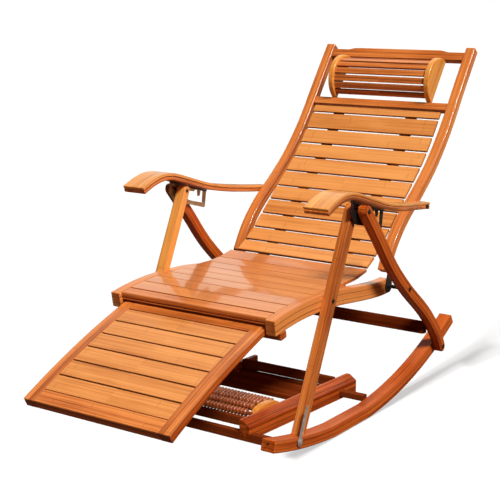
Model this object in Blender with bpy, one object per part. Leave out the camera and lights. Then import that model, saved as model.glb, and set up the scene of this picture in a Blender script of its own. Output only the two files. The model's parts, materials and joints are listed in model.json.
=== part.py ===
"""Reclining rocking chair in laminated bamboo, with a pull-out footrest and a foot massage unit.

Metres, +Z up. The sitter faces -Y and the sitter's left hand is at +X. The rockers stand on z = 0.
Side shapes are drawn in the (y, z) plane and extruded across the chair.
"""
import math

import bmesh
import bpy
import numpy as np
from mathutils import Matrix, Vector

# Driving dimensions
GAP = 0.0003                      # joint gap between neighbouring pieces
SEAT_HALF = 0.250                 # outer face of seat rails and back stiles
RAIL_T = 0.029                    # rails and stiles, across the chair
LEG_T = 0.025                     # legs, across the chair
LEG_W = 0.028                     # front legs, in side view
REAR_LEG_W = 0.030
ROCKER_W = 0.039
ROCKER_H = 0.030
ROCKER_R_FRONT = 1.42             # bend of the runner ahead of and behind the flat
ROCKER_R_REAR = 1.17
ROCKER_Y = 0.045                  # middle of the flat under the runner
ROCKER_FLAT = 0.085               # half length of the flat
ROCKER_FRONT = -0.319
ROCKER_REAR = 0.618
ARM_W = 0.062
ARM_TONGUE = 0.032
ARM_OVERHANG = 0.008              # of an armrest's wide part over the seat
ARM_T = 0.019
SEAT_RAIL_H = 0.040
STILE_D = 0.025
SLAT_T = 0.008
SLAT_CLEAR = 0.016                # between a back slat's end and the stile
SLAT_HALF = SEAT_HALF - RAIL_T - SLAT_CLEAR
HEADREST_HALF = SLAT_HALF - 0.038
CHEEK_T = 0.016                   # arched end boards of the headrest and of the massage rollers
BACK_SLATS = 11
BACK_SLAT_GAP = 0.005
FIRST_SLAT = 0.55                 # height of the uppermost slat, in pitches
STRAP_X = SLAT_HALF - 0.084
STRAP_W = 0.037
STRAP_T = 0.0015
FOOT_CLEAR = 0.005                # between the footrest and a seat rail
FOOT_HALF = SEAT_HALF - RAIL_T - FOOT_CLEAR
FOOT_T = 0.0155                   # footrest frame, thicker at its front edge
FOOT_T_FRONT = 0.019
FOOT_R = 2.300                    # bend of the footrest
FOOT_HIGH = (-0.256, 0.3138)      # top face under the seat's front rail
FOOT_LOW = (-0.610, 0.1632)       # top face at the front edge
FOOT_TUCK = 0.040                 # length hidden under the seat
FOOT_SWING = 0.450                # radius of the path on which it slides in
FOOT_FRAME = 0.033
FOOT_SLATS = 6
SEAT_SLATS = 6
SEAT_LIP = 0.0185                # strip between the front rail and the first seat slat
SEAT_T = 0.013
MASSAGE_ROWS = 5
MASSAGE_PITCH = 0.028
MASSAGER_HALF = SEAT_HALF - 0.072  # outer face of its end boards
END_BOARD_T = 0.031
BEADS = 14
PIN_R = 0.004
HINGE_PIN_R = 0.005
RECLINE = (-19.0, 5.0)            # degrees, upright to fully back
ARM_FOLLOW = 0.15                 # turn of the armrest in space per turn of the back

# Joint points in side view (y, z)
LEG_TOP = (0.060, 0.5575)
FRONT_FOOT = (-0.180, 0.033)
REAR_FOOT = (0.499, 0.108)
HINGE = (0.286, 0.3165)
ARM_PIVOT = (0.428, 0.5172)
LEVER_PIVOT = (-0.213, 0.041)
LEVER_TIP = (-0.180, 0.119)
CORNER_AXIS = (0.1130, 0.3470)     # under the front edge of the corner slats

# Side curves: control points (y, z) of smooth curves
SEAT_CURVE = ((-0.256, 0.321), (-0.200, 0.3305), (-0.127, 0.3375), (-0.045, 0.3385),
              (0.035, 0.3355), (0.130, 0.3255), (0.205, 0.3185), (0.250, 0.3160), HINGE)
SEAT_TOP = ((-0.104, 0.3573), (-0.061, 0.3577), (-0.018, 0.3577), (0.026, 0.3575), (0.069, 0.3571),
            (0.113, 0.3570))
CORNER_TOP = ((0.113, 0.3570), (0.168, 0.3600), (0.2224, 0.3705))
STILE_FRONT = ((0.2755, 0.3600), (0.298, 0.4020), (0.333, 0.4480), (0.385, 0.4970), (0.470, 0.5590),
               (0.545, 0.6220), (0.625, 0.7110), (0.705, 0.8220), (0.783, 0.9270))
MAT_FRONT = ((0.648, 0.7480), (0.590, 0.6720), (0.530, 0.6060), (0.440, 0.5300), (0.370, 0.4690),
             (0.310, 0.4190), (0.272, 0.3910), (0.2343, 0.3712))
ARM_TOP = ((-0.132, 0.5905), (-0.092, 0.6060), (-0.050, 0.6155), (-0.012, 0.6150), (0.028, 0.6060),
           (0.095, 0.5855), (0.170, 0.5645), (0.260, 0.5475), (0.350, 0.5350), (0.457, 0.5225))
REAR_LEG_CURVE = (LEG_TOP, (0.128, 0.480), (0.203, 0.392), HINGE, (0.388, 0.238), (0.440, 0.189),
                  (0.478, 0.1445), REAR_FOOT)

# Cross bars between the rockers: y, z, width along the chair, height
FRONT_BAR = (-0.2485, 0.0395, 0.018, 0.022)
REAR_BAR = (0.172, 0.0350, 0.022, 0.0157)

# Layers across the chair
X_RAIL = (SEAT_HALF - RAIL_T, SEAT_HALF)
X_FRONT_LEG = (SEAT_HALF + GAP, SEAT_HALF + GAP + LEG_T)
X_ROCKER = (SEAT_HALF, SEAT_HALF + ROCKER_W)
X_REAR_LEG = (X_ROCKER[1] + GAP, X_ROCKER[1] + GAP + LEG_T)
X_BRACKET = (X_FRONT_LEG[1] + 0.0055, X_FRONT_LEG[1] + 0.0085)
X_ARM = (SEAT_HALF + GAP, SEAT_HALF + GAP + ARM_W)
SEAT_INNER = X_RAIL[0] - GAP
CORNER_HALF = SEAT_INNER - 0.0012   # the corner slats pass between the rails

# Upper back: straight part of the stiles, u runs up and n points to the sitter
BACK_TOP = Vector((0.783, 0.927))
BACK_U = (BACK_TOP - Vector((0.625, 0.711))).normalized()
BACK_N = Vector((-BACK_U.y, BACK_U.x))
TOP_RAIL_S = (-0.044, -0.010)
MID_RAIL_S = (-0.214, -0.189)
RAIL_D = (-0.0225, -0.0025)       # rails behind the stiles' front face

SIDES = (("R", -1.0), ("L", 1.0))


def clear_scene():
    for ob in list(bpy.data.objects):
        bpy.data.objects.remove(ob, do_unlink=True)
    for block in (bpy.data.meshes, bpy.data.materials):
        for item in list(block):
            block.remove(item)


def material(name, rgb, roughness, metallic=0.0):
    mat = bpy.data.materials.new(name)
    mat.use_nodes = True
    bsdf = mat.node_tree.nodes["Principled BSDF"]
    bsdf.inputs["Base Color"].default_value = (*rgb, 1.0)
    bsdf.inputs["Roughness"].default_value = roughness
    bsdf.inputs["Metallic"].default_value = metallic
    mat.diffuse_color = (*rgb, 1.0)
    return mat


def smooth_curve(ctrl, count):
    """count + 1 points, evenly spaced along a smooth curve through the control points."""
    pts = [np.array(p, float) for p in ctrl]
    pts = [2 * pts[0] - pts[1]] + pts + [2 * pts[-1] - pts[-2]]
    dense = []
    for p0, p1, p2, p3 in zip(pts, pts[1:], pts[2:], pts[3:]):
        for t in np.linspace(0.0, 1.0, 24, endpoint=False):
            dense.append(0.5 * (2 * p1 + (p2 - p0) * t + (2 * p0 - 5 * p1 + 4 * p2 - p3) * t ** 2
                                + (3 * p1 - p0 - 3 * p2 + p3) * t ** 3))
    dense.append(pts[-2])
    dense = np.array(dense)
    run = np.concatenate([[0.0], np.cumsum(np.linalg.norm(np.diff(dense, axis=0), axis=1))])
    at = np.linspace(0.0, run[-1], count + 1)
    return np.stack([np.interp(at, run, dense[:, k]) for k in (0, 1)], axis=1)


def normals(pts):
    """Unit normals to the left of the direction of travel."""
    tangent = np.gradient(pts, axis=0)
    tangent /= np.linalg.norm(tangent, axis=1)[:, None]
    return np.stack([-tangent[:, 1], tangent[:, 0]], axis=1)


def arc(center, radius, start, stop, count):
    """Points on a circle, angles measured from +z towards -y."""
    a = np.linspace(start, stop, count + 1)
    return np.stack([center[0] - radius * np.sin(a), center[1] + radius * np.cos(a)], axis=1)


def curve_z(pts, y):
    order = np.argsort(pts[:, 0])
    return float(np.interp(y, pts[order, 0], pts[order, 1]))


def finish(name, bm, mat, pivot, bevel):
    bmesh.ops.recalc_face_normals(bm, faces=bm.faces)
    mesh = bpy.data.meshes.new(name)
    bm.to_mesh(mesh)
    bm.free()
    mesh.materials.append(mat)
    ob = bpy.data.objects.new(name, mesh)
    bpy.context.scene.collection.objects.link(ob)
    mesh.transform(Matrix.Translation(-Vector(pivot)))
    ob.location = pivot
    ob.parent = ROOT
    if bevel:
        mod = ob.modifiers.new("edge", "BEVEL")
        mod.width = bevel
        mod.segments = 1
        mod.limit_method = "ANGLE"
        mod.angle_limit = math.radians(40)
        mod.harden_normals = False
    return ob


def loft(name, rings, mat, pivot, bevel=0.0):
    """Closed solid through rings of equal size, capped at both ends."""
    bm = bmesh.new()
    rows = [[bm.verts.new(p) for p in ring] for ring in rings]
    size = len(rows[0])
    for a, b in zip(rows, rows[1:]):
        for k in range(size):
            bm.faces.new((a[k], a[(k + 1) % size], b[(k + 1) % size], b[k]))
    bm.faces.new(rows[0][::-1])
    bm.faces.new(rows[-1])
    return finish(name, bm, mat, pivot, bevel)


def prism(name, outline, x0, x1, mat, pivot, bevel=0.0):
    """Side outline extruded across the chair from x0 to x1."""
    rings = [[(x, p[0], p[1]) for p in outline] for x in (x0, x1)]
    return loft(name, rings, mat, pivot, bevel)


def ribbon(name, pts, low, high, x0, x1, mat, pivot, bevel=0.0, round_ends=(False, False)):
    """Bent strip along pts; low and high are offsets along the normals, x0 and x1 its sides."""
    nrm = normals(pts)
    lows = np.broadcast_to(low, len(pts))
    highs = np.broadcast_to(high, len(pts))
    sections = list(zip(pts, nrm, lows, highs))
    half = 0.5 * (highs[0] - lows[0])
    for end, wanted in ((0, round_ends[0]), (-1, round_ends[1])):
        if not wanted:
            continue
        p, n = pts[end], nrm[end]
        along = np.array([n[1], -n[0]]) * (-1 if end == 0 else 1)
        caps = [(p + along * half * math.sin(a), n, -half * math.cos(a), half * math.cos(a))
                for a in np.radians((32, 58, 78))]
        sections = caps[::-1] + sections if end == 0 else sections + caps
    side0 = x0 if callable(x0) else lambda y: x0
    side1 = x1 if callable(x1) else lambda y: x1
    rings = []
    for p, n, lo, hi in sections:
        a, b = p + n * lo, p + n * hi
        rings.append([(side0(p[0]), *a), (side1(p[0]), *a), (side1(p[0]), *b), (side0(p[0]), *b)])
    return loft(name, rings, mat, pivot, bevel)


def plank(name, center, angle, width, thick, x0, x1, mat, pivot=None, bevel=0.0015):
    """Straight slat across the chair; angle is its slope in side view."""
    c, s = math.cos(angle), math.sin(angle)
    corners = ((-1, -1), (1, -1), (1, 1), (-1, 1))
    outline = [(center[0] + 0.5 * (a * width * c - b * thick * s),
                center[1] + 0.5 * (a * width * s + b * thick * c)) for a, b in corners]
    return prism(name, outline, x0, x1, mat, pivot or (0.5 * (x0 + x1), *center), bevel)


def boxes(name, items):
    """Cutter made of separate boxes: (center, size, slope in side view)."""
    bm = bmesh.new()
    for center, size, slope in items:
        made = bmesh.ops.create_cube(bm, size=1.0)["verts"]
        turn = Matrix.Translation(center) @ Matrix.Rotation(slope, 4, "X") @ Matrix.Diagonal((*size, 1.0))
        bmesh.ops.transform(bm, matrix=turn, verts=made)
    return cutter(finish(name, bm, MATS["steel"], (0, 0, 0), 0.0))


def circle(at, radius, sides):
    angles = [2 * math.pi * k / sides for k in range(sides)]
    return [(at[0] + radius * math.cos(a), at[1] + radius * math.sin(a)) for a in angles]


def rod(name, x0, x1, at, radius, sides=16):
    """Round bar across the chair, used as a cutter or as a union."""
    return cutter(prism(name, circle(at, radius, sides), x0, x1, MATS["steel"], (0, 0, 0)))


def turned(name, profile, at, mat, sides=16):
    """Turned piece on an axis across the chair; profile rows are (x, radius)."""
    rings = [[(x, *p) for p in circle(at, r, sides)] for x, r in profile]
    ob = loft(name, rings, mat, (0.0, *at))
    ob.data.shade_smooth()
    ob.data.set_sharp_from_angle(angle=math.radians(40))
    return ob


def cutter(ob):
    ob.hide_render = True
    ob.display_type = "WIRE"
    return ob


def boolean(ob, tool, operation="DIFFERENCE"):
    mod = ob.modifiers.new(tool.name, "BOOLEAN")
    mod.operation = operation
    mod.object = tool
    mod.solver = "EXACT"
    return ob


def across(side, pair):
    """Sorted x limits of a layer on one side."""
    return tuple(sorted((side * pair[0], side * pair[1])))


def rocker_points(height):
    """Side curve of the runner at a height over its sole: bends front and rear of a flat."""
    pts = []
    bends = ((ROCKER_R_FRONT, ROCKER_FRONT, 3, -1), (ROCKER_R_REAR, ROCKER_REAR, 6, 1))
    for radius, end, count, sign in bends:
        flat = math.asin(ROCKER_FLAT / radius)
        last = math.asin(abs(end - ROCKER_Y) / radius)
        angles = np.linspace(flat, last, count + 1)
        r = radius - height
        sole = radius * math.cos(flat)
        half = [(ROCKER_Y + sign * r * math.sin(a), sole - r * math.cos(a)) for a in angles]
        pts = pts + half if sign > 0 else half[::-1]
    return np.array(pts)


def front_leg_axis():
    return np.array(LEG_TOP), np.array(FRONT_FOOT)


def build_base():
    top, foot = front_leg_axis()
    axis = (foot - top) / np.linalg.norm(foot - top)
    slope = math.atan2(axis[1], axis[0])
    leg_len = np.linalg.norm(foot - top)
    for tag, s in SIDES:
        x0, x1 = across(s, X_ROCKER)
        outer = rocker_points(0.0)
        inner = rocker_points(ROCKER_H)
        rings = [[(x0, *a), (x1, *a), (x1, *b), (x0, *b)] for a, b in zip(outer, inner)]
        rocker = loft("rocker_" + tag, rings, MATS["red"], (0.5 * (x0 + x1), ROCKER_Y, 0.0), 0.003)
        mid = top + axis * (leg_len - 0.040)
        notch_x = s * (0.5 * (X_FRONT_LEG[0] + X_FRONT_LEG[1]) - 0.004)
        notch_size = (LEG_T + 0.008 + 2 * GAP, 0.080 + 0.014 + 2 * GAP, LEG_W + 2 * GAP)
        notch = boxes("notch_" + tag, [((notch_x, *mid), notch_size, slope)])
        boolean(rocker, notch)
        pts = np.stack([top, top + axis * leg_len * 0.5, foot])
        leg = ribbon("front_leg_" + tag, pts, -LEG_W / 2, LEG_W / 2, *across(s, X_FRONT_LEG), MATS["wood"],
                     (s * X_FRONT_LEG[0], *LEG_TOP), 0.0, (True, False))
        boolean(leg, rod("front_leg_bore_" + tag, *across(s, (0.2, 0.4)), LEG_TOP, PIN_R + GAP))
        rear = smooth_curve(REAR_LEG_CURVE, 14)
        leg = ribbon("rear_leg_" + tag, rear, -REAR_LEG_W / 2, REAR_LEG_W / 2, *across(s, X_REAR_LEG),
                     MATS["red"], (s * X_REAR_LEG[0], *LEG_TOP), 0.0, (True, True))
        boolean(leg, rod("rear_leg_bore_" + tag, *across(s, (0.2, 0.4)), LEG_TOP, PIN_R + GAP))
        boolean(leg, rod("rear_leg_hinge_bore_" + tag, *across(s, (0.2, 0.4)), HINGE, HINGE_PIN_R + GAP))
        head = 0.0075
        a, b = X_FRONT_LEG[0] - GAP, X_REAR_LEG[1] + GAP
        profile = [(a - 0.003, head * 0.7), (a - 0.002, head), (a, head), (a, PIN_R), (b, PIN_R), (b, head),
                   (b + 0.002, head), (b + 0.003, head * 0.7)]
        turned("leg_pin_" + tag, [(s * x, r) for x, r in profile], LEG_TOP, MATS["bronze"])
        build_lever(tag, s)
    x = SEAT_HALF - GAP
    for name, bar in (("base_front_bar", FRONT_BAR), ("base_rear_bar", REAR_BAR)):
        plank(name, bar[:2], 0.0, bar[2], bar[3], -x, x, MATS["dark"], bevel=0.002)
    x = X_REAR_LEG[0] - GAP
    plank("rear_stretcher", (0.432, 0.1735), math.radians(-8), 0.026, 0.033, -x, x, MATS["dark"], bevel=0.003)


def build_lever(tag, s):
    """Steel lever that swings forward to the floor and stops the rocking."""
    p, q = np.array(LEVER_PIVOT), np.array(LEVER_TIP)
    pts = np.stack([p, 0.5 * (p + q), q])
    x0 = X_ROCKER[1] + GAP
    lever = ribbon("rock_stop_lever_" + tag, pts, -0.005, 0.005, *across(s, (x0, x0 + 0.003)), MATS["zinc"],
                   (s * x0, *LEVER_PIVOT), 0.0, (True, True))
    boolean(lever, rod("lever_hub_" + tag, *across(s, (x0, x0 + 0.0065)), LEVER_PIVOT, 0.0105), "UNION")


def build_seat():
    curve = smooth_curve(SEAT_CURVE, 16)
    half = SEAT_RAIL_H / 2
    for tag, s in SIDES:
        rail = ribbon("seat_rail_" + tag, curve, -half, half, *across(s, X_RAIL), MATS["wood"],
                      (s * X_RAIL[0], *SEAT_CURVE[0]), 0.0025, (False, True))
        boolean(rail, rod("seat_rail_bore_" + tag, *across(s, (0.1, 0.4)), HINGE, HINGE_PIN_R + GAP))
    nrm = normals(curve)
    top = curve + nrm * (half - 0.001)
    x = SEAT_INNER
    y0 = SEAT_CURVE[0][0] + 0.004
    front_t = 0.016
    z = curve_z(top, y0 + front_t / 2)
    plank("seat_front_rail", (y0 + front_t / 2, z - 0.009), math.radians(9), front_t, 0.018, -x, x,
          MATS["wood"])
    ys = np.linspace(y0 + front_t + 0.003, SEAT_TOP[0][0], 9)[:-1]
    rear_edge = (SEAT_TOP[-1][0] - 0.0005, SEAT_TOP[-1][1])
    panel_pts = [(y, curve_z(top, y)) for y in ys] + [*SEAT_TOP[:-1], rear_edge]
    panel_pts = smooth_curve(panel_pts, 14)
    panel = ribbon("seat_panel", panel_pts, -SEAT_T, 0.0, -x, x, MATS["honey"], (0, 0, panel_pts[6][1]), 0.0)
    fine = smooth_curve(panel_pts, 400)
    lip = SEAT_LIP / np.linalg.norm(np.diff(fine, axis=0), axis=1).sum()
    shares = lip + (1 - lip) * np.arange(SEAT_SLATS) / SEAT_SLATS
    slot = (2 * x - 0.024, 0.0014, 0.03)
    cuts = []
    for at in np.round(400 * shares).astype(int):
        p, n = fine[at], normals(fine)[at]
        cuts.append(((0, p[0], p[1] - 0.006), slot, math.atan2(-n[0], n[1])))
    boolean(panel, boxes("seat_slots", cuts))
    for k, (front, rear) in enumerate(zip(CORNER_TOP, CORNER_TOP[1:])):
        front, rear = Vector(front), Vector(rear)
        run = rear - front
        slope = math.atan2(run.y, run.x)
        mid = front + run * 0.5 - Vector((-math.sin(slope), math.cos(slope))) * (SLAT_T / 2)
        plank("seat_corner_slat_%d" % (k + 1), tuple(mid), slope, run.length - 0.0008, SLAT_T,
              -CORNER_HALF, CORNER_HALF, MATS["honey"], (0.0, *CORNER_AXIS))
    bottom = curve - nrm * half
    bar_y, bar_w, bar_h = -0.221, 0.026, 0.019
    rise = curve_z(bottom, bar_y + bar_w / 2) - curve_z(bottom, bar_y - bar_w / 2)
    slope = math.atan2(rise, bar_w)
    bar_top = curve_z(bottom, bar_y) - GAP - 0.0002
    bar_mid = (bar_y + bar_h / 2 * math.sin(slope), bar_top - bar_h / 2 * math.cos(slope))
    plank("footrest_carrier_bar", bar_mid, slope, bar_w, bar_h, -SEAT_HALF + 0.001, SEAT_HALF - 0.001,
          MATS["dark"], bevel=0.004)
    return bar_y, bar_top


def footrest_geometry(bar_y, bar_top):
    """Center of the bend, its first and last angle, and the center of the sliding path."""
    a, b = Vector(FOOT_HIGH), Vector(FOOT_LOW)
    chord = b - a
    half = math.asin(0.5 * chord.length / FOOT_R)
    slope = math.atan2(-chord.y, -chord.x)
    mid = 0.5 * (a + b)
    depth = FOOT_R * math.cos(half)
    center = (mid.x + depth * math.sin(slope), mid.y - depth * math.cos(slope))
    start = slope - half - FOOT_TUCK / FOOT_R
    at_bar = math.asin((center[0] - bar_y) / FOOT_R)
    swing = (bar_y + FOOT_SWING * math.sin(at_bar), bar_top - FOOT_SWING * math.cos(at_bar))
    return center, start, slope + half, swing


def build_footrest(bar_y, bar_top):
    """Curved frame and slats that slide in between the seat and the carrier bar."""
    center, start, stop, swing = footrest_geometry(bar_y, bar_top)
    pivot = (0.0, *swing)
    thick = np.linspace(FOOT_T, FOOT_T_FRONT, 13)
    frame = ribbon("footrest_frame", arc(center, FOOT_R, start, stop, 12), 0.0, thick,
                   -FOOT_HALF, FOOT_HALF, MATS["red"], pivot, 0.002)
    inner_a = start + (FOOT_TUCK + 0.014) / FOOT_R
    outer_a = stop - 0.025 / FOOT_R
    window = ribbon("footrest_window", arc(center, FOOT_R, inner_a, outer_a, 10), -0.02, FOOT_T + 0.02,
                    -FOOT_HALF + FOOT_FRAME, FOOT_HALF - FOOT_FRAME, MATS["steel"], (0, 0, 0))
    boolean(frame, cutter(window))
    edge = GAP * 1.5 / FOOT_R
    x = FOOT_HALF - FOOT_FRAME - GAP
    panel = ribbon("footrest_panel", arc(center, FOOT_R, inner_a + edge, outer_a - edge, 10), 0.0008, 0.0128,
                   -x, x, MATS["honey"], pivot, 0.0)
    step = (outer_a - inner_a) / FOOT_SLATS
    cuts = []
    for k in range(1, FOOT_SLATS):
        a = inner_a + step * k
        at = (0, center[0] - FOOT_R * math.sin(a), center[1] + FOOT_R * math.cos(a))
        cuts.append((at, (2 * x - 0.016, 0.003, 0.05), a))
    boolean(panel, boxes("footrest_slots", cuts))


def build_back():
    pts = smooth_curve(STILE_FRONT, 16)
    pivot = (0.0, *HINGE)
    for tag, s in SIDES:
        ribbon("back_stile_" + tag, pts, -STILE_D, 0.0, *across(s, X_RAIL), MATS["wood"], pivot, 0.003)
        build_hinge(tag, s, pts, pivot)
    x = SEAT_INNER
    s0, s1 = TOP_RAIL_S
    crest, step = HEADREST_HALF - 0.022, 0.006
    top_rail = [(-x, s0), (x, s0), (x, s1 - step), (crest + 0.021, s1 - step), (crest, s1), (-crest, s1),
                (-crest - 0.021, s1 - step), (-x, s1 - step)]
    back_board("back_top_rail", top_rail, *RAIL_D, MATS["wood"], pivot)
    s0, s1 = MID_RAIL_S
    back_board("back_mid_rail", [(-x, s0), (x, s0), (x, s1), (-x, s1)], *RAIL_D, MATS["wood"], pivot)
    build_headrest(pivot)
    fine = smooth_curve(MAT_FRONT, 400)
    total = BACK_SLATS - 1 + FIRST_SLAT
    marks = [0.0] + [(k + FIRST_SLAT) / total for k in range(BACK_SLATS)]
    mat = [fine[round(400 * t)] for t in marks]
    strap = []
    for k in range(BACK_SLATS):
        a, b = mat[k], mat[k + 1]
        run = b - a
        pitch = np.linalg.norm(run)
        t = run / pitch
        back = np.array([-t[1], t[0]])
        width = pitch - BACK_SLAT_GAP
        mid = 0.5 * (a + b) + back * (SLAT_T / 2)
        plank("back_slat_%02d" % (k + 1), mid, math.atan2(t[1], t[0]), width, SLAT_T,
              -SLAT_HALF, SLAT_HALF, MATS["honey"], pivot)
        face = 0.5 * (a + b) + back * (SLAT_T + GAP)
        strap += [face - t * width * 0.5, face + t * width * 0.5]
    up = strap[0] - strap[1]
    up /= np.linalg.norm(up)
    mid_low = np.array(BACK_TOP) + np.array(BACK_U) * (MID_RAIL_S[0] - GAP)
    reach = float((mid_low - strap[0]) @ np.array(BACK_U)) / float(up @ np.array(BACK_U))
    strap = np.array([strap[0] + up * (reach - 0.0006)] + strap)
    for tag, s in SIDES:
        width = across(s, (STRAP_X - STRAP_W / 2, STRAP_X + STRAP_W / 2))
        ribbon("back_strap_" + tag, strap, 0.0, STRAP_T, *width, MATS["webbing"], pivot, 0.0)


def back_board(name, outline, d0, d1, mat, pivot):
    """Board between the stiles: outline in (x, height along the stile), depth from d0 to d1."""
    rings = []
    for d in (d0, d1):
        rings.append([(x, *(BACK_TOP + BACK_U * h + BACK_N * d)) for x, h in outline])
    return loft(name, rings, mat, pivot, 0.002)


def build_headrest(pivot):
    s0, s1 = MID_RAIL_S[1] + GAP, TOP_RAIL_S[0] - GAP
    mid, radius = 0.5 * (s0 + s1), 0.5 * (s1 - s0) - 0.0003
    origin = BACK_TOP + BACK_U * mid - BACK_N * 0.0125

    def half_disc(r, start, stop, count):
        a = np.radians(np.linspace(start, stop, count + 1))
        return [origin + BACK_U * (r * math.cos(t)) + BACK_N * (r * math.sin(t)) for t in a]

    outline = half_disc(radius, 0, 180, 14)
    x_in, x_out = HEADREST_HALF - CHEEK_T, HEADREST_HALF
    for tag, s in SIDES:
        prism("headrest_cheek_" + tag, [tuple(p) for p in outline], *across(s, (x_in, x_out)),
              MATS["yellow"], pivot, 0.002)
    tube = np.array([tuple(p) for p in half_disc(radius - 0.0105, 4, 172, 16)])
    shell = ribbon("headrest_slats", tube, -0.0030, 0.0040, -x_in + GAP, x_in - GAP, MATS["wood"], pivot, 0.0)
    cuts = []
    count = 8
    for k in range(1, count):
        t = math.radians(4 + 168 * k / count)
        p = origin + BACK_U * ((radius - 0.0105) * math.cos(t)) + BACK_N * ((radius - 0.0105) * math.sin(t))
        d = BACK_U * math.cos(t) + BACK_N * math.sin(t)
        cuts.append(((0, *p), (2 * x_in - 0.014, 0.0036, 0.03), math.atan2(-d.x, d.y)))
    boolean(shell, boxes("headrest_slots", cuts))


def build_hinge(tag, s, stile, pivot):
    """Steel plate on the stile's foot with the pin that turns in the seat rail and the rear leg."""
    a = stile[0] + (stile[1] - stile[0]) * 0.1
    b = stile[1] + (stile[2] - stile[1]) * 0.25
    n = normals(stile)[0]
    h = np.array(HINGE)
    r = 0.0185
    corners = [a - n * 0.002, b - n * 0.002, b - n * (STILE_D - 0.002), a - n * (STILE_D - 0.003)]
    around = np.radians(np.linspace(20, -215, 7))
    round_low = [h + r * np.array([math.cos(t), math.sin(t)]) for t in around]
    x_plate = across(s, (SEAT_HALF + GAP, SEAT_HALF + GAP + 0.0025))
    plate = prism("back_hinge_" + tag, corners + round_low, *x_plate, MATS["black"], pivot)
    pin = rod("hinge_pin_" + tag, *across(s, (X_RAIL[0] + 0.002, X_REAR_LEG[1] - 0.004)), HINGE, HINGE_PIN_R)
    boolean(plate, pin, "UNION")


def turn(vector, angle):
    c, s = math.cos(angle), math.sin(angle)
    return np.array([vector[0] * c - vector[1] * s, vector[0] * s + vector[1] * c])


def slot_path():
    """Path of the leg pin in the armrest's rest frame as the back reclines."""
    h, c, d = np.array(HINGE), np.array(ARM_PIVOT), np.array(LEG_TOP)
    path = []
    for deg in np.linspace(RECLINE[0], RECLINE[1], 13):
        t, psi = math.radians(-deg), math.radians(-deg) * ARM_FOLLOW
        path.append(c + turn(d - h - turn(c - h, t), -psi))
    return np.array(path)[::-1]


def ease(y, start, stop):
    """Smooth step from 0 to 1."""
    t = min(max((y - start) / (stop - start), 0.0), 1.0)
    return t * t * (3 - 2 * t)


def build_arms():
    pts = smooth_curve(ARM_TOP, 20)
    under = pts - normals(pts) * ARM_T
    path = slot_path()
    for tag, s in SIDES:
        pivot = (s * X_ARM[0], *ARM_PIVOT)

        def outer(y):
            return s * (X_ARM[0] + ARM_W + (ARM_TONGUE - ARM_W) * ease(y, 0.285, 0.360))

        def inner(y):
            return s * (X_ARM[0] - ARM_OVERHANG * (1 - ease(y, 0.060, 0.250)))

        sides = (inner, outer) if s > 0 else (outer, inner)
        ribbon("armrest_" + tag, pts, -ARM_T, 0.0, *sides, MATS["wood"], pivot, 0.003)
        build_bracket(tag, s, under, path, pivot)


def build_bracket(tag, s, under, path, pivot):
    """Bent steel bracket: a notched plate over the leg pin and a flange under the armrest."""
    y0, y1 = path[0][0] - 0.022, path[-1][0] + 0.044
    ys = np.linspace(y0 + 0.012, y1, 8)
    top = [(y, curve_z(under, y) - GAP - 0.0012) for y in ys]
    drop = 0.047
    middle = 0.5 * (y0 + y1)
    bottom = [(y1 - 0.012, curve_z(under, y1) - drop),
              (middle, curve_z(under, middle) - drop - 0.004),
              (y0 + 0.018, curve_z(under, y0) - drop - 0.004), (y0, curve_z(under, y0) - 0.030)]
    plate = prism("arm_bracket_" + tag, top + bottom, *across(s, X_BRACKET), MATS["bronze"], pivot)
    flange_pts = np.array(top)
    flange_pts = flange_pts + normals(flange_pts) * -0.0012
    mid = 0.5 * (X_BRACKET[0] + X_BRACKET[1])
    flange = ribbon("bracket_flange_" + tag, flange_pts, -0.0018, 0.0002,
                    *across(s, (X_FRONT_LEG[1] + 0.0006, X_REAR_LEG[0] - 0.0006)), MATS["steel"], (0, 0, 0))
    boolean(plate, cutter(flange), "UNION")
    through = across(s, (X_BRACKET[0] - 0.004, X_BRACKET[1] + 0.004))
    slot = ribbon("bracket_slot_" + tag, path, -0.0150, PIN_R + 0.0012, *through, MATS["steel"], (0, 0, 0))
    first, last = path[0], path[-1]
    boolean(plate, cutter(slot))
    cuts = []
    for end, out in ((first, -1), (last, 1)):
        cuts.append(((s * mid, end[0] + out * 0.0035, end[1] - 0.0012), (0.011, 0.011, 0.0124), 0.0))
    for t in (0.52, 0.77, 0.985):
        p = np.array([np.interp(t, np.linspace(0, 1, len(path)), path[:, k]) for k in (0, 1)])
        cuts.append(((s * mid, p[0], p[1] + 0.006), (0.011, 0.0105, 0.0130), 0.0))
    for k, cut in enumerate(cuts):
        boolean(plate, boxes("bracket_notch_%s_%d" % (tag, k), [cut]))


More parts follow.
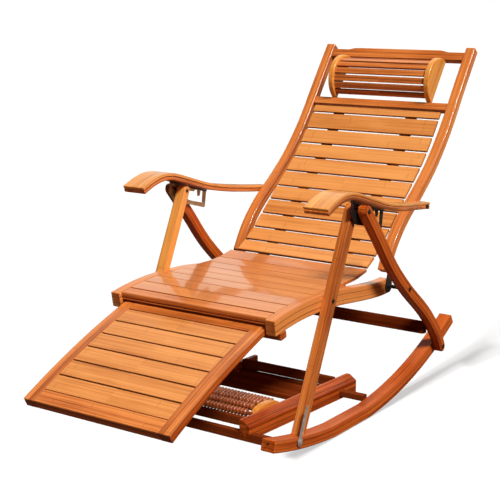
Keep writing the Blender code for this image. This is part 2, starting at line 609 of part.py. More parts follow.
def build_massager():
    """Foot massage unit between the rockers: end boards, slats, arched cheeks and beaded rods."""
    tilt = -0.034

    def z_at(y, z):
        return z + tilt * y

    y0, y1 = FRONT_BAR[0] - 0.5 * FRONT_BAR[2], 0.252
    low, high = 0.0245, 0.0720
    x0, x1 = MASSAGER_HALF - END_BOARD_T, MASSAGER_HALF
    for tag, s in SIDES:
        rings = []
        for y in (y0, y1):
            ring = ((x0, low), (x1, low), (x1, high - 0.014), (x1 - 0.020, high), (x0, high))
            rings.append([(s * x, y, z_at(y, z)) for x, z in ring])
        board = loft("massager_end_board_" + tag, rings, MATS["dark"], (s * x0, 0.0, low), 0.0)
        notches = []
        for bar_y, bar_z, width, height in (FRONT_BAR, REAR_BAR):
            bar_top = bar_z + 0.5 * height
            at = (s * 0.5 * (x0 + x1), bar_y, bar_top - 0.05 + GAP)
            notches.append((at, (2 * END_BOARD_T, width + 2 * GAP, 0.10), 0.0))
        boolean(board, boxes("end_board_notch_" + tag, notches))
    x = x0 - GAP
    slope = math.atan(tilt)
    plank("massager_rear_bar", (0.182, z_at(0.182, 0.0640)), slope, 0.018, 0.024, -x, x, MATS["dark"])
    plank("massager_foot_board", (0.055, z_at(0.055, 0.0560)), slope, 0.104, 0.012, -x, x, MATS["dark"])
    plank("massager_front_bar", (-0.2085, z_at(-0.2085, 0.0505)), slope, 0.016, 0.022, -x, x, MATS["dark"])
    rows_mid, crown = -0.131, 0.0745
    rows = []
    for k in range(MASSAGE_ROWS):
        u = k - 0.5 * (MASSAGE_ROWS - 1)
        y = rows_mid + u * MASSAGE_PITCH
        rows.append((y, z_at(y, crown) - 0.0022 * u * u))
    x_in = x - CHEEK_T
    for tag, s in SIDES:
        arch = []
        for t in np.linspace(-1, 1, 11):
            y = rows_mid + t * (2 * MASSAGE_PITCH + 0.0105)
            arch.append((y, z_at(y, crown) + 0.009 - 0.026 * abs(t) ** 3))
        base = [(arch[-1][0], z_at(arch[-1][0], 0.036)), (arch[0][0], z_at(arch[0][0], 0.036))]
        cheek = prism("massager_cheek_" + tag, arch + base, *across(s, (x_in, x)), MATS["yellow"],
                      (s * x, rows_mid, 0.05), 0.0)
        bore = across(s, (x_in - 0.01, x_in + 0.010))
        for k, row in enumerate(rows):
            boolean(cheek, rod("cheek_bore_%s_%d" % (tag, k), *bore, row, PIN_R + GAP, 12))
    pitch = (2 * x_in - 0.012) / BEADS
    for k, row in enumerate(rows):
        profile = [(-x_in - 0.008, PIN_R), (-x_in + 0.006, PIN_R)]
        for b in range(BEADS):
            start = -x_in + 0.006 + b * pitch
            bead = ((0.18, 0.0105), (0.82, 0.0105), (1.0, 0.006))
            profile += [(start + share * pitch, radius) for share, radius in bead]
        profile[-1] = (profile[-1][0], PIN_R)
        profile.append((x_in + 0.008, PIN_R))
        turned("massage_roller_%d" % (k + 1), profile, row, MATS["yellow"], 10)


def center_frame():
    """Move the root so that the origin is under the middle of the chair."""
    bpy.context.view_layer.update()
    graph = bpy.context.evaluated_depsgraph_get()
    ys = []
    for ob in bpy.data.objects:
        if ob.type != "MESH" or ob.hide_render:
            continue
        shown = ob.evaluated_get(graph)
        ys += [(shown.matrix_world @ v.co).y for v in shown.data.vertices]
    ROOT.location.y = -0.5 * (min(ys) + max(ys))


clear_scene()
ROOT = bpy.data.objects.new("chair_root", None)
bpy.context.scene.collection.objects.link(ROOT)
MATS = {
    "wood": material("bamboo_frame", (0.64, 0.24, 0.060), 0.35),
    "honey": material("bamboo_slats", (0.76, 0.35, 0.10), 0.35),
    "red": material("bamboo_red", (0.55, 0.16, 0.035), 0.35),
    "dark": material("bamboo_dark", (0.25, 0.055, 0.018), 0.40),
    "yellow": material("bamboo_pale", (0.80, 0.42, 0.11), 0.35),
    "bronze": material("bronzed_steel", (0.36, 0.24, 0.15), 0.40, 0.8),
    "black": material("black_steel", (0.03, 0.025, 0.022), 0.45, 0.6),
    "zinc": material("zinc_steel", (0.55, 0.52, 0.50), 0.35, 0.9),
    "steel": material("plain_steel", (0.5, 0.5, 0.5), 0.4, 0.9),
    "webbing": material("webbing", (0.05, 0.02, 0.012), 0.85),
}
build_base()
BAR_Y, BAR_TOP = build_seat()
build_footrest(BAR_Y, BAR_TOP)
build_back()
build_arms()
build_massager()
center_frame()
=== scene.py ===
"""Looks of a reclining rocking chair in laminated, lacquered bamboo.

Metres, +Z up. The sitter faces -Y and the sitter's left hand is at +X. Boards are lofted along their own
grain, so that every board carries its grain as an attribute: along, across and through the board.
"""
import functools
import json
import math

import bmesh
import bpy
import numpy as np
from mathutils import Matrix, Vector

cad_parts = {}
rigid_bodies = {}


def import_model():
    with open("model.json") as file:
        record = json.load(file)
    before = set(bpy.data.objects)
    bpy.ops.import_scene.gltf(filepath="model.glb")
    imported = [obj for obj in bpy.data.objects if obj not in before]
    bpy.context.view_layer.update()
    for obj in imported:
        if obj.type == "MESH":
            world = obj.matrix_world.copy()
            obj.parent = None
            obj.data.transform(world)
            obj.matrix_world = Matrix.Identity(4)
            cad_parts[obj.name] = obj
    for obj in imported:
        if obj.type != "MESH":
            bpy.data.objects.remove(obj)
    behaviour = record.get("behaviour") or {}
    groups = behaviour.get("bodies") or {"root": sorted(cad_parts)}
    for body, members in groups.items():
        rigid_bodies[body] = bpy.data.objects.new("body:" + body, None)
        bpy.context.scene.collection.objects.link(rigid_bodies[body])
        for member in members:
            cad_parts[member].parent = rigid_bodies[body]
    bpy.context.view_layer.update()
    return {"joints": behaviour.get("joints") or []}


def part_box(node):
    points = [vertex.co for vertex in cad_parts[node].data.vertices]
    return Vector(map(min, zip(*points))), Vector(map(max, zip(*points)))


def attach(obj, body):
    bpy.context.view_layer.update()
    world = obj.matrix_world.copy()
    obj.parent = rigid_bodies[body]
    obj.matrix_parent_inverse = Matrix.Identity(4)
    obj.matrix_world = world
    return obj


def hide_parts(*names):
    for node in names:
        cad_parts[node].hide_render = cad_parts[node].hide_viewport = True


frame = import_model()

bl_info = {
    "name": "Bamboo rocking chair",
    "version": (1, 0, 0),
    "blender": (4, 5, 0),
    "location": "3D View > Sidebar > Chair",
    "description": "Dresses the rocking chair's frame with lacquered bamboo boards, steel fittings and a studio",
    "category": "Object",
}

# Places that come from the frame
JOINTS = {joint["name"]: joint for joint in frame["joints"]}
HINGE_DRAWN_Y = 0.286                  # the back hinge in the side drawing below
SIDE_Y = JOINTS["back_recline"]["pos_m"][1] - HINGE_DRAWN_Y
SIDES = {"R": -1.0, "L": 1.0}

# Side drawing (y, z): control points of smooth curves
LEG_TOP = (0.060, 0.5575)
FRONT_FOOT = (-0.180, 0.033)
REAR_FOOT = (0.499, 0.108)
HINGE = (HINGE_DRAWN_Y, 0.3165)
SEAT_CURVE = ((-0.256, 0.321), (-0.200, 0.3305), (-0.127, 0.3375), (-0.045, 0.3385),
              (0.035, 0.3355), (0.130, 0.3255), (0.205, 0.3185), (0.250, 0.3160), HINGE)
STILE_FRONT = ((0.2755, 0.3600), (0.298, 0.4020), (0.333, 0.4480), (0.385, 0.4970), (0.470, 0.5590),
               (0.545, 0.6220), (0.625, 0.7110), (0.705, 0.8220), (0.783, 0.9270))
ARM_TOP = ((-0.132, 0.5905), (-0.092, 0.6060), (-0.050, 0.6155), (-0.012, 0.6150), (0.028, 0.6060),
           (0.095, 0.5855), (0.170, 0.5645), (0.260, 0.5475), (0.350, 0.5350), (0.457, 0.5225))
REAR_LEG_CURVE = (LEG_TOP, (0.128, 0.480), (0.203, 0.392), HINGE, (0.388, 0.238), (0.440, 0.189),
                  (0.478, 0.1445), REAR_FOOT)
MAT_FRONT = ((0.648, 0.7480), (0.590, 0.6720), (0.530, 0.6060), (0.440, 0.5300), (0.370, 0.4690),
             (0.310, 0.4190), (0.272, 0.3910), (0.2343, 0.3712))
SEAT_TOP = ((-0.104, 0.3573), (-0.061, 0.3577), (-0.018, 0.3577), (0.026, 0.3575), (0.069, 0.3571),
            (0.113, 0.3570))
CORNER_TOP = ((0.113, 0.3570), (0.168, 0.3600), (0.2224, 0.3705))
ARM_PIVOT = (JOINTS["arm_follow_L"]["pos_m"][1] - SIDE_Y, JOINTS["arm_follow_L"]["pos_m"][2])
PIN_PATH = ((0.0424, 0.5656), (0.0636, 0.5560), (0.0860, 0.5480), (0.1094, 0.5416), (0.1337, 0.5369))
LEVER_PIVOT = (-0.213, 0.041)
LEVER_TIP = (-0.180, 0.119)
FOOT_HIGH = (-0.256, 0.3138)
FOOT_LOW = (-0.610, 0.1632)
FOOT_R = 2.300                         # bend radius of the footrest
ROCKER_Y = 0.045                       # middle of the runner's flat sole
ROCKER_FLAT = 0.085                    # half its length
ROCKER_HALF = 0.015                    # half the runner's height
ROCKER_ENDS = ((1.42, -0.319, -1), (1.17, 0.618, 1))   # bend radius, end, direction
BACK_TOP = np.array((0.783, 0.927))
BACK_BEND = np.array((0.625, 0.711))
BACK_U = (BACK_TOP - BACK_BEND) / np.linalg.norm(BACK_TOP - BACK_BEND)   # up the back
BACK_N = np.array((-BACK_U[1], BACK_U[0]))                               # out of its front
BACK_MID = 0.0125                      # the middle of the back's frame lies this far behind its front

# Sizes that several pieces share
GAP = 0.0003                           # joint gap between neighbouring boards
SEAT_RAIL_HALF = 0.020                 # half the height of a seat rail
ARM_THICK = 0.019
BRACKET_X = 0.2823                     # plane of the notched plates
UNIT_FALL = 0.034                      # the massage unit leans back a little
UNIT_TOP = 0.072
SCREW_RADIUS = 0.0024
ROLLERS = 5

# How boards are drawn
CURVE_STEPS = 24                       # samples between two control points
CORNER_STEPS = 4                       # faces round a board's edge
MAX_ROUND = 0.49                       # share of a section that one rounded edge may take
SMALLEST_ROUND = 1e-5
HALF_ROUND_END = (15, 30, 45, 58, 70, 80, 86)   # degrees of the sections of a half-round end
EASED_END = (0, 30, 60, 90)                     # and of an end with eased edges
SHARP = math.radians(50)
GRAIN_STEP = 1.7                       # metres of grain kept for each board of a piece
NAME_STEP = 0.37                       # shift of the grain for each letter of a piece's name
TURNED_SIDES = 28

# Kinds of node that are often used
MAKE_VECTOR = "ShaderNodeCombineXYZ"
STORE = "GeometryNodeStoreNamedAttribute"
READ_ATTRIBUTE = "GeometryNodeInputNamedAttribute"


def srgb(code):
    """Linear RGBA of an sRGB hex value."""
    parts = [int(code[k:k + 2], 16) / 255 for k in (1, 3, 5)]
    linear = [c / 12.92 if c <= 0.04045 else ((c + 0.055) / 1.055) ** 2.4 for c in parts]
    return (*linear, 1.0)


def colour(label, text, code):
    return bpy.props.FloatVectorProperty(name=label, description=text, subtype="COLOR", size=4,
                                         min=0.0, max=1.0, default=srgb(code))


def length(label, text, value):
    return bpy.props.FloatProperty(name=label, description=text, default=value, min=0.0, unit="LENGTH")


class ChairColours(bpy.types.PropertyGroup):
    """Colours of the lacquered bamboo and the steel."""
    slats: colour("Slats", "Back and footrest slats", "#E0904A")
    seat: colour("Seat", "Seat slats and corner slats", "#D27A38")
    frame: colour("Frame", "Rails, stiles and the darker front leg", "#D97C38")
    red: colour("Red frame", "Rockers, rear legs and ends of the massage unit", "#BE561A")
    dark: colour("Dark boards", "Cross bars and bars of the massage unit", "#7A3414")
    pale: colour("Pale boards", "Headrest cheeks and roller cheeks", "#E6963F")
    arms: colour("Arms", "Armrests and the paler front leg", "#E59643")
    beads: colour("Beads", "Turned beads of the massage rollers", "#76350E")
    bronze: colour("Bronzed steel", "Bracket of the sitter's right arm", "#A58C6A")
    # black steel also paints the shade on the sitter's left bracket, which is bronzed like the right one
    black: colour("Black steel", "Hinges, bolts and bracket of the sitter's left arm", "#2B2724")
    zinc: colour("Zinc plating", "Rock-stop levers", "#B4AEA8")
    webbing: colour("Webbing", "Straps behind the back slats", "#3A1A10")


class ChairSizes(bpy.types.PropertyGroup):
    """Sizes of rounded edges, gaps and fasteners."""
    edge: length("Edge round", "Radius on the edges of frame boards", 0.0032)
    slat_edge: length("Slat edge round", "Radius on the long edges of slats", 0.0018)
    seat_gap: length("Seat gap", "Groove between two seat slats", 0.0016)
    foot_gap: length("Footrest gap", "Groove between two footrest slats", 0.0040)
    bolt_head: length("Bolt head", "Diameter of a bolt head", 0.0110)
    bead: length("Bead", "Diameter of a massage bead", 0.0205)


# Curves in the side drawing

def smooth_curve(ctrl, count):
    """count + 1 points, evenly spaced along a smooth curve through the control points."""
    pts = [np.array(p, float) for p in ctrl]
    pts = [2 * pts[0] - pts[1]] + pts + [2 * pts[-1] - pts[-2]]
    dense = []
    for p0, p1, p2, p3 in zip(pts, pts[1:], pts[2:], pts[3:]):
        for t in np.linspace(0.0, 1.0, CURVE_STEPS, endpoint=False):
            dense.append(0.5 * (2 * p1 + (p2 - p0) * t + (2 * p0 - 5 * p1 + 4 * p2 - p3) * t ** 2
                                + (3 * p1 - p0 - 3 * p2 + p3) * t ** 3))
    dense.append(pts[-2])
    dense = np.array(dense)
    run = run_of(dense)
    at = np.linspace(0.0, run[-1], count + 1)
    return np.stack([np.interp(at, run, dense[:, k]) for k in (0, 1)], axis=1)


def run_of(pts):
    """Distance of each point from the first one, along the curve."""
    return np.concatenate([[0.0], np.cumsum(np.linalg.norm(np.diff(pts, axis=0), axis=1))])


def normals(pts):
    """Unit normals to the left of the direction of travel."""
    tangent = np.gradient(pts, axis=0)
    tangent /= np.linalg.norm(tangent, axis=1)[:, None]
    return np.stack([-tangent[:, 1], tangent[:, 0]], axis=1)


def arc(center, radius, start, stop, count):
    """Points on a circle, angles measured from +z towards -y."""
    a = np.linspace(start, stop, count + 1)
    return np.stack([center[0] - radius * np.sin(a), center[1] + radius * np.cos(a)], axis=1)


def curve_z(pts, y):
    order = np.argsort(pts[:, 0])
    return float(np.interp(y, pts[order, 0], pts[order, 1]))


def ease(y, start, stop):
    t = min(max((y - start) / (stop - start), 0.0), 1.0)
    return t * t * (3 - 2 * t)


def rocker_points(height, count):
    """Side curve of the runner at a height over its sole: bends front and rear of a flat."""
    pts = []
    for radius, end, sign in ROCKER_ENDS:
        flat = math.asin(ROCKER_FLAT / radius)
        angles = np.linspace(flat, math.asin(abs(end - ROCKER_Y) / radius), count)
        sole = radius * math.cos(flat)
        half = [(ROCKER_Y + sign * (radius - height) * math.sin(a), sole - (radius - height) * math.cos(a))
                for a in angles]
        pts = pts + half if sign > 0 else half[::-1]
    return np.array(pts)


def side(point, x=0.0):
    """World place of a point of the side drawing."""
    return Vector((x, point[0] + SIDE_Y, point[1]))


def downwards(slope):
    """Unit vector square to a slope, pointing down."""
    return np.array((math.sin(slope), -math.cos(slope)))


def span(node):
    """x limits of a node, from the frame."""
    low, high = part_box(node)
    return low.x, high.x


def reach(node):
    """Least and greatest distance of a node from the middle of the chair."""
    return sorted(abs(x) for x in span(node))


# Boards

class Station:
    """One section of a board: a rounded rectangle in the plane of a and b."""

    def __init__(self, origin, a, b, extent_a, extent_b, along):
        self.origin = Vector(origin)
        self.a = Vector(a)
        self.b = Vector(b)
        self.extent_a = extent_a
        self.extent_b = extent_b
        self.along = along

    def ring(self, radius, inset):
        """Places, grain and edge value of the section's outline."""
        a0, a1 = self.extent_a[0] + inset, self.extent_a[1] - inset
        b0, b1 = self.extent_b[0] + inset, self.extent_b[1] - inset
        r = max(min(radius, MAX_ROUND * (a1 - a0), MAX_ROUND * (b1 - b0)) - 0.5 * inset, SMALLEST_ROUND)
        corners = ((a1 - r, b1 - r, 0), (a0 + r, b1 - r, 90), (a0 + r, b0 + r, 180), (a1 - r, b0 + r, 270))
        out = []
        for ca, cb, first in corners:
            for k in range(CORNER_STEPS + 1):
                angle = math.radians(first + 90 * k / CORNER_STEPS)
                va, vb = ca + r * math.cos(angle), cb + r * math.sin(angle)
                # edge value: one mid-way round a rounded edge, where the bamboo finish paints shade
                edge = math.sin(math.pi * k / CORNER_STEPS)
                out.append((self.origin + self.a * va + self.b * vb, (self.along, va, vb), edge))
        return out


def side_stations(pts, low, high, limits, round_ends=(False, False)):
    """Sections of a board bent in side view: low and high are offsets along the normals, limits are in x."""
    low, high = (np.broadcast_to(offset, len(pts)) for offset in (low, high))
    rows = list(zip(pts, normals(pts), low, high, run_of(pts)))
    for end, sign in ((0, -1), (-1, 1)):
        if not round_ends[end]:
            continue
        p, n, lo, hi, u = rows[end]
        half, mid = 0.5 * (hi - lo), 0.5 * (hi + lo)
        ahead = sign * np.array([n[1], -n[0]])
        caps = []
        for t in map(math.radians, HALF_ROUND_END):
            out, left = half * math.sin(t), half * math.cos(t)
            caps.append((p + ahead * out, n, mid - left, mid + left, u + sign * out))
        rows = caps[::-1] + rows if sign < 0 else rows + caps
    return [Station(side(p), (1, 0, 0), (0, *n), limits(p[0]) if callable(limits) else limits, (lo, hi), u)
            for p, n, lo, hi, u in rows]


def cross_stations(center, slope, width, thick, limits):
    """Two sections of a straight board that lies across the chair."""
    a = (0, math.cos(slope), math.sin(slope))
    b = (0, -math.sin(slope), math.cos(slope))
    return [Station(side(center, x), a, b, (-width / 2, width / 2), (-thick / 2, thick / 2), x) for x in limits]


def with_round_ends(stations, radius, skip):
    """Sections with their insets; those added ease the edges of a board's square ends."""
    out = [(s, 0.0) for s in stations]
    for end, sign in ((0, -1), (-1, 1)):
        if skip[end]:
            continue
        last = stations[end]
        direction = (last.origin - stations[end - sign].origin).normalized()
        extra = []
        for t in map(math.radians, EASED_END):
            shift = radius * (math.sin(t) - 1)
            moved = Station(last.origin + direction * shift, last.a, last.b, last.extent_a, last.extent_b,
                            last.along + sign * shift)
            extra.append((moved, radius * (1 - math.cos(t))))
        out = extra[::-1] + out[1:] if sign < 0 else out[:-1] + extra
    return out


def skin(bm, rows):
    """Quads between closed rows of vertices and a face on each end."""
    size = len(rows[0])
    for lower, upper in zip(rows, rows[1:]):
        for k in range(size):
            after = (k + 1) % size
            bm.faces.new((lower[k], lower[after], upper[after], upper[k]))
    bm.faces.new(rows[0][::-1])
    bm.faces.new(rows[-1])


def board_mesh():
    """Empty mesh and its layers for grain, tone and edge value."""
    bm = bmesh.new()
    layers = bm.verts.layers
    return bm, (layers.float_vector.new("grain"), layers.float.new("tone"), layers.float.new("edge"))


def board(name, boards, finish, radius, ends=0.0, skip=(False, False)):
    """One piece made of boards; each is (sections, tone) and has its own stretch of grain.

    radius is on the long edges, ends on the edges of the square ends unless they are skipped.
    """
    bm, (grain_layer, tone_layer, edge_layer) = board_mesh()
    for k, (stations, tone) in enumerate(boards):
        shift = Vector((GRAIN_STEP * k + NAME_STEP * len(name), 0.0, 0.0))
        rows = []
        for station, inset in with_round_ends(stations, ends, skip) if ends else [(s, 0.0) for s in stations]:
            row = []
            for place, grain, edge in station.ring(radius, inset):
                vert = bm.verts.new(place)
                vert[grain_layer] = Vector(grain) + shift
                vert[tone_layer] = tone
                vert[edge_layer] = edge
                row.append(vert)
            rows.append(row)
        skin(bm, rows)
    bmesh.ops.recalc_face_normals(bm, faces=bm.faces)
    return finished(name, bm, material(finish))


def finished(name, bm, mat):
    """Plain mesh object with smooth, area-weighted normals."""
    mesh = bpy.data.meshes.new(name)
    bm.to_mesh(mesh)
    bm.free()
    obj = bpy.data.objects.new(name, mesh)
    bpy.context.scene.collection.objects.link(obj)
    mesh.materials.append(mat)
    return weighted(obj)


def weighted(obj):
    obj.data.shade_smooth()
    obj.data.set_sharp_from_angle(angle=SHARP)
    obj.modifiers.new("normals", "WEIGHTED_NORMAL").keep_sharp = True
    return applied(obj)


def evaluated_mesh(obj):
    graph = bpy.context.evaluated_depsgraph_get()
    return bpy.data.meshes.new_from_object(obj.evaluated_get(graph), depsgraph=graph)


def applied(obj):
    """Turns the evaluated object into a plain mesh and removes its modifiers."""
    mesh = evaluated_mesh(obj)
    obj.modifiers.clear()
    obj.data = mesh
    mesh.name = obj.name
    return obj


def dress(obj, body, slot, *nodes):
    """The piece rides on a body and stands for CAD nodes; slot is not used."""
    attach(obj, body)
    if nodes:
        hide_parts(*nodes)


def cross_bar(name, node, slope, tone, radius, size=None):
    """Straight dark board across the chair, centred where the frame has it."""
    low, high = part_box(node)
    center = (0.5 * (low.y + high.y) - SIDE_Y, 0.5 * (low.z + high.z))
    width, thick = size or (high.y - low.y, high.z - low.z)
    stations = cross_stations(center, slope, width, thick, (low.x, high.x))
    dress(board(name, [(stations, tone)], "bamboo_dark", radius), "frame", "bamboo_dark", node)


# Plates and turned pieces

def filleted(points, radius, steps=4, corners=None):
    """Closed outline with its corners, or only the numbered ones, rounded."""
    longest_cut = 0.45                 # share of a side
    pts = [np.array(p, float) for p in points]
    out = []
    for k, p in enumerate(pts):
        if corners is not None and k not in corners:
            out.append(p)
            continue
        sides = [pts[k - 1] - p, pts[(k + 1) % len(pts)] - p]
        cut = min(radius, *(longest_cut * np.linalg.norm(v) for v in sides))
        a, b = (p + v / np.linalg.norm(v) * cut for v in sides)
        for t in np.linspace(0, 1, steps + 1):
            out.append((1 - t) ** 2 * a + 2 * t * (1 - t) * p + t ** 2 * b)
    return out


def plate(name, loops, matrix, finish, thick, edge, tone=0.5, steps=2, grain=(0, 1, 2)):
    """Plate with windows: loops in its plane, the first is the outline; grain lists its axes, along first."""
    data = bpy.data.curves.new(name, "CURVE")
    data.dimensions = "2D"
    data.fill_mode = "BOTH"
    data.extrude = thick / 2 - edge
    data.bevel_depth = edge
    data.bevel_resolution = steps
    data.offset = -edge
    for loop in loops:
        spline = data.splines.new("POLY")
        spline.points.add(len(loop) - 1)
        for point, (u, v) in zip(spline.points, loop):
            point.co = (u, v, 0.0, 1.0)
        spline.use_cyclic_u = True
    shape = bpy.data.objects.new(name + "_outline", data)
    bpy.context.scene.collection.objects.link(shape)
    mesh = evaluated_mesh(shape)
    bpy.data.objects.remove(shape)
    bm, (grain_layer, tone_layer, _) = board_mesh()
    bm.from_mesh(mesh)
    bpy.data.meshes.remove(mesh)
    bmesh.ops.remove_doubles(bm, verts=bm.verts, dist=1e-6)
    bmesh.ops.recalc_face_normals(bm, faces=bm.faces)
    for vert in bm.verts:
        vert[grain_layer] = Vector([vert.co[k] for k in grain]) + Vector((NAME_STEP * len(name), 0.0, 0.0))
        vert[tone_layer] = tone
    bmesh.ops.transform(bm, matrix=matrix, verts=bm.verts)
    if matrix.determinant() < 0:
        bmesh.ops.reverse_faces(bm, faces=bm.faces)
    return finished(name, bm, material(finish))


def side_plane(x):
    """Plane of the side drawing at x: first axis back, second up, third to the sitter's left."""
    return Matrix(((0, 0, 1, x), (1, 0, 0, SIDE_Y), (0, 1, 0, 0), (0, 0, 0, 1)))


def turned_piece(name, profile, center, s, finish):
    """Steel piece turned about X on side s; profile rows are (distance from the chair's middle, radius)."""
    bm = bmesh.new()
    axis = Vector((s, 0, 0))
    u = axis.orthogonal().normalized()
    v = axis.cross(u)
    angles = [2 * math.pi * k / TURNED_SIDES for k in range(TURNED_SIDES)]
    skin(bm, [[bm.verts.new(center + axis * x + (u * math.cos(t) + v * math.sin(t)) * r) for t in angles]
              for x, r in profile])
    bmesh.ops.recalc_face_normals(bm, faces=bm.faces)
    return finished(name, bm, material(finish))


# Materials

def feed(tree, node, inputs):
    """Gives a node's inputs, by name or in order, a value or a link."""
    for key, value in inputs.items() if isinstance(inputs, dict) else enumerate(inputs):
        if isinstance(value, bpy.types.Node):
            value = value.outputs[0]
        if isinstance(value, bpy.types.NodeSocket):
            tree.links.new(node.inputs[key], value)
        else:
            node.inputs[key].default_value = value


def add(tree, kind, inputs=(), **settings):
    """Adds a node with its settings and feeds its inputs; a kind in capitals is what a math node does."""
    if kind.isupper():
        kind, settings = "ShaderNodeMath", {"operation": kind}
    made = tree.nodes.new(kind)
    for key, value in settings.items():
        setattr(made, key, value)
    feed(tree, made, inputs)
    return made


def new_material(name):
    mat = bpy.data.materials.new(name)
    mat.use_nodes = True
    return mat, mat.node_tree, mat.node_tree.nodes["Principled BSDF"]


def set_stops(ramp, stops):
    """Places and colours of a colour ramp's stops."""
    elements = ramp.color_ramp.elements
    while len(elements) < len(stops):
        elements.new(0.5)
    for element, (place, value) in zip(elements, stops):
        element.position = place
        element.color = value


def shade(rgba, *factors):
    """Colour times one factor, or times one factor for each of red, green and blue."""
    factors = factors if len(factors) == 3 else factors * 3
    return tuple(min(1.0, c * f) for c, f in zip(rgba, factors)) + (1.0,)


def bamboo(name, base, strip_mm, ply_mm, contrast, coat, joint, gloss):
    """Laminated bamboo, planed and gloss lacquered.

    To the eye: strips glued side by side, fine dark fibres along each strip, a brown node mark across most
    strips every 27 cm, thin glue lines between plies, and a clear coat that gives bright edge lines.
    """
    mat, tree, bsdf = new_material(name)
    node = functools.partial(add, tree)
    grain = node("ShaderNodeAttribute", attribute_name="grain").outputs["Vector"]
    tone, edge = (node("ShaderNodeAttribute", attribute_name=key).outputs["Fac"] for key in ("tone", "edge"))
    along, across, through = node("ShaderNodeSeparateXYZ", [grain]).outputs
    # strip and ply numbers give each lamella its own tone
    strip_at = node("DIVIDE", (across, strip_mm / 1000))
    ply_at = node("ADD", (node("DIVIDE", (through, ply_mm / 1000)), 0.5))
    board_at = node("DIVIDE", (along, GRAIN_STEP))
    lamella = node(MAKE_VECTOR, [node("FLOOR", [at]) for at in (strip_at, ply_at, board_at)])
    chance = node("ShaderNodeTexWhiteNoise", {"Vector": lamella}, noise_dimensions="3D").outputs["Value"]
    # fibres 0.6 mm wide, drawn at 1.5 mm so that they show, slow streaks 7 mm wide, and clouds
    patterns = []
    for scale, detail, rough in (((9.0, 680.0, 680.0), 3.0, 0.6), ((2.5, 140.0, 100.0), 2.0, 0.5),
                                 ((5.0, 9.0, 9.0), 3.0, 0.5)):
        stretched = node("ShaderNodeMapping", {"Vector": grain, "Scale": scale})
        patterns.append(node("ShaderNodeTexNoise", {"Vector": stretched, "Scale": 1.0, "Detail": detail,
                                                    "Roughness": rough}).outputs["Fac"])
    fibres, streaks, clouds = patterns
    # one node mark in 270 mm on two strips of three, at its own place on each, 5 mm wide with soft edges
    node_gap, scatter, wobble, half_mark, softness, unmarked = 0.270, 7.31, 0.012, 0.010, 0.35, 0.35
    node_at = node("DIVIDE", (along, node_gap))
    node_at = node("ADD", (node_at, node("MULTIPLY", (chance, scatter))))
    node_at = node("FRACT", [node_at])
    wave = node("MULTIPLY", (node("SUBTRACT", (streaks, 0.5)), wobble))
    off = node("SUBTRACT", (node("ADD", (node_at, wave)), 0.5))
    off = node("DIVIDE", (node("ABSOLUTE", [off]), half_mark))
    mark = node("SUBTRACT", (1.0, node("SMOOTH_MIN", (off, 1.0, softness))))
    mark = node("MULTIPLY", (mark, node("GREATER_THAN", (chance, unmarked))))
    # glue lines 0.2 mm wide, drawn at 1 mm between strips and 1.6 mm between plies so that they show
    lines, half_seam_mm, half_glue_mm = [], 0.50, 0.80
    for at, half_line in ((strip_at, half_seam_mm / strip_mm), (ply_at, half_glue_mm / ply_mm)):
        off = node("SUBTRACT", (node("FRACT", [at]), 0.5))
        off = node("ABSOLUTE", [off])
        lines.append(node("GREATER_THAN", (off, 0.5 - half_line)))
    seam, glue = lines
    seam = node("MULTIPLY", (seam, joint))

    value = 0.5
    for pattern, weight in ((fibres, 0.50 * contrast), (streaks, 0.60 * contrast), (clouds, 0.40 * contrast),
                            (chance, 0.16 * contrast), (tone, 0.60)):
        swing = node("SUBTRACT", (pattern, 0.5))
        value = node("MULTIPLY_ADD", (swing, weight, value))
    wood = node("ShaderNodeValToRGB", [value])
    set_stops(wood, ((0.05, shade(base, 0.45, 0.30, 0.20)), (0.33, shade(base, 0.80, 0.70, 0.55)), (0.52, base),
                     (0.75, shade(base, 1.10, 1.22, 1.30)), (1.00, shade(base, 1.20, 1.50, 1.80))))
    # node marks and glue lines are brown; the rounded edges get painted shade, drawn as dark outlines
    brown, mark_depth, glue_depth, edge_shade_depth, groove = srgb("#5A2208"), 0.26, 0.75, 1.25, 0.8
    mark = node("MULTIPLY", (mark, mark_depth))
    line = node("MAXIMUM", (seam, node("MULTIPLY", (glue, glue_depth))))
    # painted shade on the rounded edges, patchy with the streaks
    edge_shade = node("MULTIPLY", (streaks, edge_shade_depth))
    edge_shade = node("MULTIPLY", (node("ShaderNodeClamp", {"Value": edge}), edge_shade))
    for share, tint in ((mark, brown), (line, shade(brown, 0.5)), (edge_shade, shade(base, 0.42, 0.26, 0.18))):
        # inputs 0, 6 and 7 are the factor and two colours
        wood = node("ShaderNodeMix", {0: share, 6: wood, 7: tint}, data_type="RGBA").outputs[2]
    height = node("SUBTRACT", (fibres, node("MULTIPLY", (glue, groove))))
    feed(tree, bsdf, {
        "Base Color": wood, "IOR": 1.5, "Specular IOR Level": gloss, "Coat Weight": coat, "Coat Roughness": 0.07,
        "Roughness": node("MULTIPLY_ADD", (clouds, 0.20, 0.26)),
        "Normal": node("ShaderNodeBump", {"Height": height, "Strength": 0.10, "Distance": 0.0004})})
    return mat


def steel(name, base, roughness, grit_mm, metallic):
    """Sheet steel with a thin finish: fine cloudy grit, darker where the finish is thick."""
    mat, tree, bsdf = new_material(name)
    place = add(tree, "ShaderNodeTexCoord").outputs["Object"]
    cloud_mm = grit_mm * 14
    grit, clouds = (add(tree, "ShaderNodeTexNoise", {"Vector": place, "Scale": 1000 / size, "Detail": detail})
                    .outputs["Fac"] for size, detail in ((grit_mm, 4.0), (cloud_mm, 3.0)))
    tint = add(tree, "ShaderNodeValToRGB", [clouds])
    set_stops(tint, ((0.30, shade(base, 0.70)), (0.55, base), (0.75, shade(base, 1.15))))
    feed(tree, bsdf, {
        "Base Color": tint, "Metallic": metallic,
        "Roughness": add(tree, "ShaderNodeMapRange", {"Value": grit, "To Min": roughness - 0.08,
                                                      "To Max": roughness + 0.10}),
        "Normal": add(tree, "ShaderNodeBump", {"Height": grit, "Strength": 0.08, "Distance": 0.0002})})
    return mat


